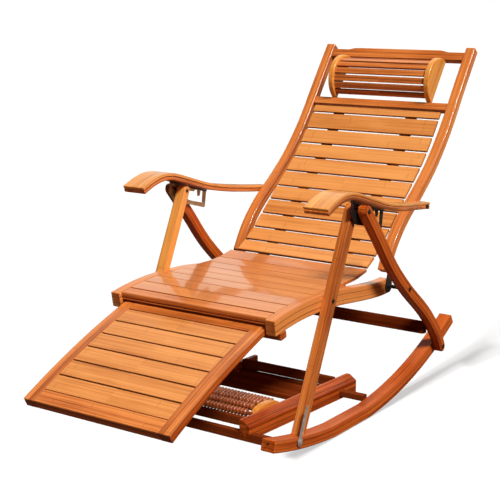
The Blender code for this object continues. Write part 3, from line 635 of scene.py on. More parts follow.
def woven_strap(name, base):
    """Polyester webbing: ribs of yarn across the strap, dull and dark."""
    mat, tree, bsdf = new_material(name)
    grain = add(tree, "ShaderNodeAttribute", attribute_name="grain").outputs["Vector"]
    # yarns 0.9 mm apart, drawn at 1.6 mm along and 2.6 mm across so that they show
    one_band = 2 * math.pi / 20         # scale that gives the wave texture one band in a metre
    ribs, warp = (add(tree, "ShaderNodeTexWave", {"Vector": grain, "Scale": one_band / spacing,
                                                  "Distortion": bent}, bands_direction=axis).outputs["Fac"]
                  for axis, spacing, bent in (("X", 0.0016, 0.4), ("Y", 0.0026, 0.3)))
    weave = add(tree, "MULTIPLY", (ribs, warp))
    tint = add(tree, "ShaderNodeValToRGB", [weave])
    set_stops(tint, ((0.0, shade(base, 0.5)), (1.0, shade(base, 1.3))))
    bump = add(tree, "ShaderNodeBump", {"Height": weave, "Strength": 0.5, "Distance": 0.0006})
    feed(tree, bsdf, {"Base Color": tint, "Roughness": 0.85, "Normal": bump})
    return mat


# Each slot's maker and colour; then, for bamboo, width of a strip and of a ply in mm, contrast, coat, depth of
# the strip joints and gloss, and for steel, roughness, grit in mm and metallic
FINISHES = {
    "bamboo_slats": (bamboo, "slats", 21.0, 40.0, 1.0, 0.3, 0.05, 0.5),
    "bamboo_seat": (bamboo, "seat", 21.0, 40.0, 1.2, 0.9, 0.05, 0.5),
    "bamboo_frame": (bamboo, "frame", 14.2, 15.5, 1.8, 0.5, 0.45, 0.4),
    "bamboo_red": (bamboo, "red", 13.0, 11.5, 2.0, 0.15, 0.40, 0.15),
    "bamboo_dark": (bamboo, "dark", 20.0, 30.0, 1.8, 0.0, 0.30, 0.0),
    "bamboo_pale": (bamboo, "pale", 16.0, 30.0, 1.2, 0.4, 0.2, 0.5),
    "bamboo_arms": (bamboo, "arms", 20.7, 40.0, 1.4, 0.6, 0.25, 0.5),
    "bamboo_beads": (bamboo, "beads", 9.0, 30.0, 0.8, 1.0, 0.05, 0.5),
    "bronzed_steel": (steel, "bronze", 0.38, 0.9, 0.35),
    "black_steel": (steel, "black", 0.42, 0.8, 0.5),
    "zinc_steel": (steel, "zinc", 0.30, 0.7, 0.45),
    "webbing": (woven_strap, "webbing"),
}


def material(slot):
    """The finish of a slot, made on first use."""
    maker, key, *values = FINISHES[slot]
    name = ("lacquered_" if maker is bamboo else "finish_") + slot
    found = bpy.data.materials.get(name)
    return found or maker(name, tuple(getattr(bpy.context.scene.chair_colours, key)), *values)


# Geometry Nodes

def slat_row(node, given):
    """Slats on points: each point carries its turn about X and its share of the slat's width."""
    # straight line along X with short ends that taper by the edge radius
    half = node("MULTIPLY", (given["Length"], 0.5))
    start, stop = (node(MAKE_VECTOR, [node("MULTIPLY", (half, sign))]) for sign in (-1.0, 1.0))
    line = node("GeometryNodeCurvePrimitiveLine", {"Start": start, "End": stop})
    line = node("GeometryNodeResampleCurve", {"Curve": line, "Count": 4})
    ends = node("GeometryNodeCurveEndpointSelection")
    middle = node("FunctionNodeBooleanMath", [ends], operation="NOT")
    x = node("ShaderNodeSeparateXYZ", [node("GeometryNodeInputPosition")]).outputs["X"]
    moved = node("SUBTRACT", (half, given["Edge"]))
    moved = node("MULTIPLY", (node("SIGN", [x]), moved))
    line = node("GeometryNodeSetPosition", {"Geometry": line, "Selection": middle,
                                            "Position": node(MAKE_VECTOR, [moved])})
    taper = node("MULTIPLY", (given["Thickness"], 1.6))
    taper = node("DIVIDE", (given["Edge"], taper))
    taper = node("SUBTRACT", (1.0, taper))
    line = node("GeometryNodeSetCurveRadius", {"Curve": line, "Selection": ends, "Radius": taper})
    section = node("GeometryNodeCurvePrimitiveQuadrilateral",
                   {"Width": given["Width"], "Height": given["Thickness"]})
    section = node("GeometryNodeFilletCurve", {"Curve": section, "Radius": given["Edge"], "Count": 4,
                                               "Limit Radius": True}, mode="POLY")
    slat = node("GeometryNodeCurveToMesh", {"Curve": line, "Profile Curve": section, "Fill Caps": True})
    # the crown bulges the slat across its width
    local = node("GeometryNodeInputPosition")
    y = node("ShaderNodeSeparateXYZ", [local]).outputs["Y"]
    across = node("DIVIDE", (y, node("MULTIPLY", (given["Width"], 0.5))))
    bulge = node("MULTIPLY", (across, across))
    bulge = node("SUBTRACT", (1.0, bulge))
    bulge = node("MULTIPLY", (bulge, given["Crown"]))
    slat = node("GeometryNodeSetPosition", {"Geometry": slat, "Offset": node(MAKE_VECTOR, {"Z": bulge})})
    slat = node(STORE, {"Geometry": slat, "Value": local, "Name": "grain"}, data_type="FLOAT_VECTOR")
    # edge value: nought on the flat, one on the sides, where the bamboo finish paints shade
    band = node("MULTIPLY", (given["Edge"], 2.0))
    band = node("DIVIDE", (band, given["Width"]))
    flat = node("SUBTRACT", (1.0, band))
    rim = node("SUBTRACT", (node("ABSOLUTE", [across]), flat))
    rim = node("DIVIDE", (rim, band))
    slat = node(STORE, {"Geometry": slat, "Value": rim, "Name": "edge"}, data_type="FLOAT")
    # one slat on each point, with its own tone
    turn, share = (node(READ_ATTRIBUTE, {"Name": key}, data_type="FLOAT") for key in ("turn", "share"))
    turn = node("FunctionNodeEulerToRotation", [node(MAKE_VECTOR, [turn])])
    row = node("GeometryNodeInstanceOnPoints", {"Points": given["Geometry"], "Instance": slat, "Rotation": turn,
                                                "Scale": node(MAKE_VECTOR, (1.0, share, 1.0))})
    chance = node("FunctionNodeRandomValue", {"Seed": given["Seed"]}, data_type="FLOAT").outputs[1]
    tone = node("SUBTRACT", (chance, 0.5))
    tone = node("MULTIPLY", (tone, given["Tone spread"]))
    tone = node("ADD", (given["Tone"], tone))
    for key, value in (("tone", tone), ("number", node("GeometryNodeInputIndex"))):
        row = node(STORE, {"Geometry": row, "Value": value, "Name": key}, data_type="FLOAT", domain="INSTANCE")
    row = node("GeometryNodeRealizeInstances", [row])
    # each slat gets its own stretch of grain
    far = node("MULTIPLY", (node(READ_ATTRIBUTE, {"Name": "number"}, data_type="FLOAT"), GRAIN_STEP))
    grain = node(READ_ATTRIBUTE, {"Name": "grain"}, data_type="FLOAT_VECTOR")
    grain = node("ShaderNodeVectorMath", (grain, node(MAKE_VECTOR, [far])), operation="ADD")
    return node(STORE, {"Geometry": row, "Value": grain, "Name": "grain"}, data_type="FLOAT_VECTOR")


def bead_row(node, given):
    """Beads threaded on a rod: the points lie along the rod, those marked as beads carry one."""
    bead = node("GeometryNodeMeshUVSphere", {"Radius": given["Radius"], "Segments": 18, "Rings": 10})
    marked = node("FunctionNodeCompare", (node(READ_ATTRIBUTE, {"Name": "bead"}, data_type="FLOAT"), 0.5),
                  data_type="FLOAT", operation="GREATER_THAN")
    flat = node("DIVIDE", (given["Width"], given["Radius"]))
    flat = node("MULTIPLY", (flat, 0.5))
    row = node("GeometryNodeInstanceOnPoints",
               {"Points": given["Geometry"], "Selection": marked, "Instance": bead,
                "Scale": node(MAKE_VECTOR, (1.0, 1.0, flat)), "Rotation": (0.0, math.pi / 2, 0.0)})
    # input 3 is the greatest value, and the least one stays nought
    chance = node("FunctionNodeRandomValue", {"Seed": given["Seed"], 3: given["Tone spread"]}, data_type="FLOAT")
    row = node(STORE, {"Geometry": row, "Value": chance.outputs[1], "Name": "tone"}, data_type="FLOAT",
               domain="INSTANCE")
    line = node("GeometryNodeMeshToCurve", {"Mesh": given["Geometry"]})
    section = node("GeometryNodeCurvePrimitiveCircle", {"Radius": given["Rod radius"], "Resolution": 16})
    rod = node("GeometryNodeCurveToMesh", {"Curve": line, "Profile Curve": section, "Fill Caps": True})
    both = node("GeometryNodeJoinGeometry", [rod])
    both.id_data.links.new(both.inputs[0], row.outputs[0])
    made = node("GeometryNodeRealizeInstances", [both])
    return node(STORE, {"Geometry": made, "Value": node("GeometryNodeInputPosition"), "Name": "grain"},
                data_type="FLOAT_VECTOR")


def bolt_heads(node, given):
    """Domed heads on points: each point carries its turn about Z, its lift about Y and its radius."""
    # a dome turned about X: a short line with the radius of a quarter circle, and a seat inside the wood
    line = node("GeometryNodeCurvePrimitiveLine", {"Start": (-0.3, 0, 0), "End": (1.0, 0, 0)})
    line = node("GeometryNodeResampleCurve", {"Curve": line, "Count": 14})
    x = node("ShaderNodeSeparateXYZ", [node("GeometryNodeInputPosition")]).outputs["X"]
    above = node("MAXIMUM", (x, 0.0))
    square = node("MULTIPLY", (above, above))
    square = node("SUBTRACT", (1.002, square))
    radius = node("SQRT", [square])
    line = node("GeometryNodeSetCurveRadius", {"Curve": line, "Radius": radius})
    section = node("GeometryNodeCurvePrimitiveCircle", {"Resolution": 24, "Radius": 1.0})
    dome = node("GeometryNodeCurveToMesh", {"Curve": line, "Profile Curve": section, "Fill Caps": True})
    turn, lift, size = (node(READ_ATTRIBUTE, {"Name": key}, data_type="FLOAT") for key in ("turn", "lift", "size"))
    euler = node("FunctionNodeEulerToRotation", [node(MAKE_VECTOR, {"Y": lift, "Z": turn})])
    heads = node("GeometryNodeInstanceOnPoints", {"Points": given["Geometry"], "Instance": dome, "Rotation": euler,
                                                  "Scale": node(MAKE_VECTOR, (given["Height"], size, size))})
    return node("GeometryNodeRealizeInstances", [heads])


# Each tree's inputs beside Geometry and Material
TREES = {
    slat_row: {"Length": "Float", "Width": "Float", "Thickness": "Float", "Edge": "Float", "Crown": "Float",
               "Tone": "Float", "Tone spread": "Float", "Seed": "Int"},
    bead_row: {"Radius": "Float", "Width": "Float", "Rod radius": "Float", "Tone spread": "Float", "Seed": "Int"},
    bolt_heads: {"Height": "Float"},
}


def tree_of(build):
    """The node tree that a function builds, made on first use; it ends in smooth faces and a material."""
    name = build.__name__
    found = bpy.data.node_groups.get(name)
    if found:
        return found
    tree = bpy.data.node_groups.new(name, "GeometryNodeTree")
    tree.interface.new_socket("Geometry", in_out="OUTPUT", socket_type="NodeSocketGeometry")
    for label, kind in {"Geometry": "Geometry", **TREES[build], "Material": "Material"}.items():
        tree.interface.new_socket(label, in_out="INPUT", socket_type="NodeSocket" + kind)
    given = add(tree, "NodeGroupInput").outputs
    made = add(tree, "GeometryNodeSetShadeSmooth", {"Geometry": build(functools.partial(add, tree), given)})
    made = add(tree, "GeometryNodeSetMaterial", {"Geometry": made, "Material": given["Material"]})
    add(tree, "NodeGroupOutput", {"Geometry": made})
    return tree


def grown(name, points, attributes, build, inputs, edges=()):
    """Plain mesh grown by a tree on points that carry attributes."""
    mesh = bpy.data.meshes.new(name)
    mesh.from_pydata([tuple(p) for p in points], edges, [])
    for key, values in attributes.items():
        layer = mesh.attributes.new(key, "FLOAT", "POINT")
        layer.data.foreach_set("value", [float(v) for v in values])
    obj = bpy.data.objects.new(name, mesh)
    bpy.context.scene.collection.objects.link(obj)
    mod = obj.modifiers.new("grow", "NODES")
    mod.node_group = tree_of(build)
    names = {item.name: item.identifier for item in mod.node_group.interface.items_tree if item.in_out == "INPUT"}
    for key, value in inputs.items():
        mod[names[key]] = value
    applied(obj)
    if not obj.data.polygons:
        raise RuntimeError(name + " has no faces")
    return weighted(obj)


def slats(name, rows, across, width, thick, edge, tones, seed, slot="bamboo_slats", crown=0.0):
    """A row of slats across the chair; rows are (center, slope, width), tones are (middle, spread)."""
    centers, slopes, widths = zip(*rows)
    points = [side(center, 0.5 * (across[0] + across[1])) for center in centers]
    return grown(name, points, {"turn": slopes, "share": [own / width for own in widths]}, slat_row,
                 {"Length": across[1] - across[0], "Width": width, "Thickness": thick, "Edge": edge,
                  "Crown": crown, "Tone": tones[0], "Tone spread": tones[1], "Seed": seed,
                  "Material": material(slot)})


# Pieces: tones run from dark, about 0, to light, about 1

class CHAIR_OT_rockers(bpy.types.Operator):
    """Bent laminated runners, cross bars and the stretcher between the rear legs"""
    bl_idname = "chair.rockers"
    bl_label = "Rockers and cross bars"
    bl_options = {"REGISTER", "UNDO"}

    def execute(self, context):
        pts = rocker_points(ROCKER_HALF, 28)
        for tag in SIDES:
            stations = side_stations(pts, -ROCKER_HALF, ROCKER_HALF, span("rocker_" + tag))
            obj = board("runner_" + tag, [(stations, 0.52)], "bamboo_red", context.scene.chair_sizes.edge,
                        ends=0.0025)
            dress(obj, "frame", "bamboo_red", "rocker_" + tag)
        for place in ("front", "rear"):
            cross_bar("cross_%s_bar" % place, "base_%s_bar" % place, slope=0.0, tone=0.45, radius=0.002)
        # the stretcher's tone below the others' makes it near black: painted shade for the shade under the seat
        cross_bar("rear_stretcher", "rear_stretcher", slope=math.radians(-8), tone=-0.20, radius=0.003,
                  size=(0.026, 0.033))
        self.carrier_bar()
        return {"FINISHED"}

    def carrier_bar(self):
        """Bar under the seat rails that the footrest hangs on."""
        y, width, thick, gap = -0.221, 0.026, 0.019, 0.0005
        seat = smooth_curve(SEAT_CURVE, 60)
        under = seat - normals(seat) * SEAT_RAIL_HALF
        slope = math.atan2(curve_z(under, y + width / 2) - curve_z(under, y - width / 2), width)
        center = np.array((y, curve_z(under, y) - gap)) + downwards(slope) * thick / 2
        stations = cross_stations(center, slope, width, thick, span("footrest_carrier_bar"))
        obj = board("carrier_bar", [(stations, 0.6)], "bamboo_red", radius=0.004, ends=0.003)
        dress(obj, "frame", "bamboo_dark", "footrest_carrier_bar")


class CHAIR_OT_legs(bpy.types.Operator):
    """Straight front legs and bent rear legs"""
    bl_idname = "chair.legs"
    bl_label = "Legs"
    bl_options = {"REGISTER", "UNDO"}

    def execute(self, context):
        front, front_half = np.linspace(LEG_TOP, FRONT_FOOT, 9), 0.014
        rear, rear_half = smooth_curve(REAR_LEG_CURVE, 48), 0.015
        for tag, s in SIDES.items():
            stations = side_stations(front, -front_half, front_half, span("front_leg_" + tag), (True, False))
            wood, tone = ("bamboo_arms", 0.56) if s < 0 else ("bamboo_frame", 0.26)
            obj = board("straight_leg_" + tag, [(stations, tone)], wood, radius=0.0025)
            dress(obj, "frame", "bamboo_frame", "front_leg_" + tag)
            stations = side_stations(rear, -rear_half, rear_half, span("rear_leg_" + tag), (True, True))
            obj = board("bent_leg_" + tag, [(stations, 0.50)], "bamboo_red", radius=0.0030)
            dress(obj, "frame", "bamboo_red", "rear_leg_" + tag)
        return {"FINISHED"}


class CHAIR_OT_seat(bpy.types.Operator):
    """Bent seat rails, front board and the seat's slats"""
    bl_idname = "chair.seat"
    bl_label = "Seat"
    bl_options = {"REGISTER", "UNDO"}

    def execute(self, context):
        sizes = context.scene.chair_sizes
        curve = smooth_curve(SEAT_CURVE, 48)
        rear_only = (False, True)
        for tag in SIDES:
            stations = side_stations(curve, -SEAT_RAIL_HALF, SEAT_RAIL_HALF, span("seat_rail_" + tag), rear_only)
            obj = board("seat_side_" + tag, [(stations, 0.80)], "bamboo_frame", sizes.edge, ends=0.0025,
                        skip=rear_only)
            dress(obj, "frame", "bamboo_frame", "seat_rail_" + tag)
        self.slat_bed(curve, sizes)
        self.corner(sizes)
        return {"FINISHED"}

    def slat_bed(self, curve, sizes):
        """Front board with its lip, then slats that stay level where the rails dip."""
        count, thick, front, lip_end, sunk = 6, 0.013, -0.252, -0.2147, 0.001
        rail_top = curve + normals(curve) * (SEAT_RAIL_HALF - sunk)
        top = smooth_curve([(y, curve_z(rail_top, y)) for y in np.linspace(front, SEAT_TOP[0][0], 8)]
                           + list(SEAT_TOP[1:]), 400)
        mid = np.array((0.5 * (front + lip_end), curve_z(top, 0.5 * (front + lip_end))))
        slope = math.atan2(curve_z(top, lip_end) - curve_z(top, front), lip_end - front)
        down, ahead = downwards(slope), np.array((-math.cos(slope), -math.sin(slope)))
        wide, lip_wide, lip_thick, lip_down, lip_back = lip_end - front - 0.001, 0.0125, 0.0050, 0.0027, 0.0065
        lip_mid = mid + down * (thick + lip_down) + ahead * (wide / 2 - lip_back)
        limits = span("seat_front_rail")
        boards = [(cross_stations(mid + down * thick / 2, slope, wide, thick, limits), 0.42),
                  (cross_stations(lip_mid, slope, lip_wide, lip_thick, limits), 0.25)]
        obj = board("seat_front_board", boards, "bamboo_frame", radius=0.0042)
        dress(obj, "frame", "bamboo_frame", "seat_front_rail")
        run, nrm = run_of(top), normals(top)
        start = float(np.interp(lip_end, top[:, 0], run))
        pitch = (run[-1] - start) / count
        rows = []
        for k in range(count):
            at = int(np.argmin(abs(run - start - pitch * (k + 0.5))))
            n = nrm[at]
            rows.append((top[at] - n * thick / 2, math.atan2(-n[0], n[1]), pitch - sizes.seat_gap))
        obj = slats("seat_slats", rows, span("seat_panel"), pitch, thick, sizes.slat_edge,
                    tones=(0.50, 0.30), seed=3, slot="bamboo_seat")
        dress(obj, "frame", "bamboo_slats", "seat_panel")

    def corner(self, sizes):
        """Two slats that turn up from the seat to the back."""
        thick, gap = 0.008, 0.0012
        rows = []
        for front, rear in zip(np.array(CORNER_TOP), np.array(CORNER_TOP[1:])):
            run = rear - front
            slope = math.atan2(run[1], run[0])
            rows.append((0.5 * (front + rear) + downwards(slope) * thick / 2, slope, np.linalg.norm(run) - gap))
        obj = slats("corner_slats", rows, span("seat_corner_slat_1"), rows[0][2], thick, sizes.slat_edge,
                    tones=(0.50, 0.25), seed=8, slot="bamboo_seat")
        dress(obj, "seat_corner", "bamboo_slats", "seat_corner_slat_1", "seat_corner_slat_2")


class CHAIR_OT_footrest(bpy.types.Operator):
    """Bent footrest frame with six slats let into it"""
    bl_idname = "chair.footrest"
    bl_label = "Footrest"
    bl_options = {"REGISTER", "UNDO"}

    def execute(self, context):
        ends = np.array((FOOT_HIGH, FOOT_LOW))
        chord = ends[1] - ends[0]
        half = math.asin(0.5 * np.linalg.norm(chord) / FOOT_R)
        slope = math.atan2(-chord[1], -chord[0])
        center = 0.5 * (ends[0] + ends[1]) + downwards(slope) * FOOT_R * math.cos(half)
        # the frame tucks in under the seat and gets thicker towards its low end; its top ply is paler and the
        # plies below take the red finish, partly the real plies and partly painted shade on the side and front
        # faces
        tuck, rail_high, rail_low, side_wide = 0.040, 0.014, 0.040, 0.033
        ply, thin, thickest, steps = 0.0055, 0.0155, 0.0235, 40
        start, stop = slope - half - tuck / FOOT_R, slope + half
        inner, outer = start + (tuck + rail_high) / FOOT_R, stop - rail_low / FOOT_R
        x0, x1 = span("footrest_frame")
        inside = (x0 + side_wide + GAP, x1 - side_wide - GAP)

        def underside(t):
            return thin + (thickest - thin) * (t - start) / (stop - start)

        for name, wood, tones, nodes in (
                ("footrest_surround", "bamboo_frame", (0.34, 0.26, 0.24, 0.30), ["footrest_frame"]),
                ("footrest_underply", "bamboo_red", (0.34, 0.34, 0.20, 0.40), [])):
            upper = 0.0 if nodes else ply
            boards = []
            for limits, tone in zip(((x0, x0 + side_wide), (x1 - side_wide, x1)), tones):
                lower = ply if nodes else underside(np.linspace(start, stop, steps + 1))
                boards.append((side_stations(arc(center, FOOT_R, start, stop, steps), upper, lower, limits), tone))
            for (first, last), tone in zip(((start, inner), (outer, stop)), tones[2:]):
                t = 0.5 * (first + last)
                lower = ply if nodes else underside(t)
                mid = arc(center, FOOT_R - 0.5 * (upper + lower), t, t, 0)[0]
                boards.append((cross_stations(mid, t, (last - first) * FOOT_R, lower - upper, inside), tone))
            dress(board(name, boards, wood, radius=0.0015, ends=0.0012), "footrest", "bamboo_red", *nodes)
        count, thick, sunk = 6, 0.012, 0.0008
        step = (outer - inner) / count
        rows = []
        for k in range(count):
            t = inner + step * (k + 0.5)
            rows.append((arc(center, FOOT_R - sunk - thick / 2, t, t, 0)[0], t,
                         step * FOOT_R - context.scene.chair_sizes.foot_gap))
        obj = slats("footrest_slats", rows, inside, step * FOOT_R, thick, edge=0.0014, tones=(0.30, 0.30), seed=5)
        dress(obj, "footrest", "bamboo_slats", "footrest_panel")
        return {"FINISHED"}


class CHAIR_OT_back(bpy.types.Operator):
    """Bent stiles, top and middle rail, back slats and the straps behind them"""
    bl_idname = "chair.back"
    bl_label = "Back"
    bl_options = {"REGISTER", "UNDO"}

    def execute(self, context):
        sizes = context.scene.chair_sizes
        pts = smooth_curve(STILE_FRONT, 56)
        for tag, s in SIDES.items():
            stations = side_stations(pts, -2 * BACK_MID, 0.0, span("back_stile_" + tag))
            tone = 0.30 if s < 0 else 0.50
            obj = board("back_upright_" + tag, [(stations, tone)], "bamboo_frame", sizes.edge, ends=0.003)
            dress(obj, "backrest", "bamboo_frame", "back_stile_" + tag)
        self.rails()
        self.mat(sizes)
        return {"FINISHED"}

    def rails(self):
        """Top rail with its raised crest, and the straight rail under the headrest."""
        x = span("back_top_rail")[1]
        bottom, top, crest, step, ramp = -0.044, -0.010, 0.145, 0.006, 0.021
        shoulder = top - step
        outline = [(-x, bottom), (x, bottom), (x, shoulder), (crest + ramp, shoulder), (crest, top), (-crest, top),
                   (-crest - ramp, shoulder), (-x, shoulder)]
        origin = side(BACK_TOP - BACK_N * BACK_MID)
        matrix = Matrix(((1, 0, 0, 0), (0, BACK_U[0], BACK_N[0], origin.y), (0, BACK_U[1], BACK_N[1], origin.z),
                         (0, 0, 0, 1)))
        thick = 0.020
        loop = filleted(outline, radius=0.008, steps=6, corners=(3, 4, 5, 6))
        obj = plate("back_crest", [loop], matrix, "bamboo_frame", thick, edge=0.003, tone=0.45, steps=3)
        dress(obj, "backrest", "bamboo_frame", "back_top_rail")
        mid_rail, width = -0.2015, 0.025
        center = BACK_TOP + BACK_U * mid_rail - BACK_N * BACK_MID
        slope = math.atan2(BACK_U[1], BACK_U[0])
        stations = cross_stations(center, slope, width, thick, span("back_mid_rail"))
        obj = board("back_cross_rail", [(stations, 0.32)], "bamboo_frame", radius=0.003)
        dress(obj, "backrest", "bamboo_frame", "back_mid_rail")

    def mat(self, sizes):
        """Eleven slats on two straps; the uppermost one is narrow."""
        thick, gap, eased, count, first, samples = 0.008, 0.005, 0.0012, 11, 0.55, 400
        fine = smooth_curve(MAT_FRONT, samples)
        total = count - 1 + first
        # slats of a hand-threaded mat aren't quite evenly spaced
        uneven = (-0.10, -0.03, -0.04, -0.07, 0.02, 0.15, 0.12, 0.16, 0.16, 0.09, 0.0)
        marks = [0.0] + [(k + first + uneven[k]) / total for k in range(count)]
        line = [fine[round(samples * t)] for t in marks]
        rows, strap = [], []
        for a, b in zip(line, line[1:]):
            pitch = np.linalg.norm(b - a)
            t = (b - a) / pitch
            back = np.array((-t[1], t[0]))
            rows.append((0.5 * (a + b) + back * thick / 2, math.atan2(-t[1], -t[0]), pitch - gap - eased))
            face = 0.5 * (a + b) + back * (thick + GAP)
            strap += [face - t * (pitch - gap) * 0.5, face + t * (pitch - gap) * 0.5]
        # the uppermost slat reaches up to the cross rail
        center, slope, own = rows[0]
        rise = 0.0035
        rows[0] = (center + np.array((math.cos(slope), math.sin(slope))) * rise / 2, slope, own + rise)
        x0, x1 = span("back_slat_05")
        longer_right, longer_left, usual = 0.002, 0.006, rows[5][2]
        obj = slats("back_slats", rows, (x0 - longer_right, x1 + longer_left), usual, thick, sizes.slat_edge,
                    tones=(0.46, 0.36), seed=11)
        dress(obj, "backrest", "bamboo_slats", *("back_slat_%02d" % (k + 1) for k in range(count)))
        strap_thick = 0.0015
        for tag in SIDES:
            stations = side_stations(np.array(strap), 0.0, strap_thick, span("back_strap_" + tag))
            obj = board("webbing_" + tag, [(stations, 0.5)], "webbing", radius=0.0005)
            dress(obj, "backrest", "webbing", "back_strap_" + tag)


class CHAIR_OT_headrest(bpy.types.Operator):
    """Half-round headrest: two cheeks and a row of slats round them"""
    bl_idname = "chair.headrest"
    bl_label = "Headrest"
    bl_options = {"REGISTER", "UNDO"}

    def execute(self, context):
        bottom, top = -0.189 + GAP, -0.044 - GAP
        radius = 0.5 * (top - bottom) - 0.0003
        origin = BACK_TOP + BACK_U * 0.5 * (bottom + top) - BACK_N * BACK_MID
        place = side(origin)
        half_disc = [(radius * math.cos(t), radius * math.sin(t)) for t in np.linspace(0, math.pi, 33)]
        for tag in SIDES:
            x0, x1 = span("headrest_cheek_" + tag)
            matrix = Matrix(((0, 0, 1, 0.5 * (x0 + x1)), (BACK_U[0], BACK_N[0], 0, place.y),
                             (BACK_U[1], BACK_N[1], 0, place.z), (0, 0, 0, 1)))
            obj = plate("half_round_cheek_" + tag, [half_disc], matrix, "bamboo_pale", x1 - x0, edge=0.0028,
                        tone=0.6, steps=3)
            dress(obj, "backrest", "bamboo_pale", "headrest_cheek_" + tag)
        count, thick, gap, sunk, ring = 8, 0.007, 0.0042, 0.0012, radius - 0.011
        first, pitch = math.radians(4), math.radians(168) / count
        rows = []
        for k in range(count):
            t = first + pitch * (k + 0.5)
            out = BACK_U * math.cos(t) + BACK_N * math.sin(t)
            rows.append((origin + out * (ring - sunk), math.atan2(-out[0], out[1]), ring * pitch - gap))
        obj = slats("headrest_staves", rows, span("headrest_slats"), rows[0][2], thick, edge=0.0016,
                    tones=(0.22, 0.3), seed=2, slot="bamboo_frame", crown=0.0012)
        dress(obj, "backrest", "bamboo_frame", "headrest_slats")
        return {"FINISHED"}


class CHAIR_OT_arms(bpy.types.Operator):
    """Two-ply bent armrests"""
    bl_idname = "chair.arms"
    bl_label = "Armrests"
    bl_options = {"REGISTER", "UNDO"}

    def execute(self, context):
        pts = smooth_curve(ARM_TOP, 60)
        inner_face, wide, tongue, overhang = 0.2503, 0.062, 0.032, 0.008
        for tag, s in SIDES.items():

            def limits(y):
                outer = inner_face + wide + (tongue - wide) * ease(y, 0.200, 0.430)
                inner = inner_face - overhang * (1 - ease(y, 0.060, 0.250))
                return sorted((s * inner, s * outer))

            for name, low, high, tone, wood, nodes in (
                    ("arm_board_", -0.0085, 0.0, 0.55, "bamboo_arms", ["armrest_" + tag]),
                    ("arm_underply_", -ARM_THICK, -0.0092, 0.30, "bamboo_frame", [])):
                stations = side_stations(pts, low, high, limits)
                obj = board(name + tag, [(stations, tone)], wood, radius=0.0026, ends=0.0022)
                dress(obj, "arm_" + tag, "bamboo_frame", *nodes)
        return {"FINISHED"}


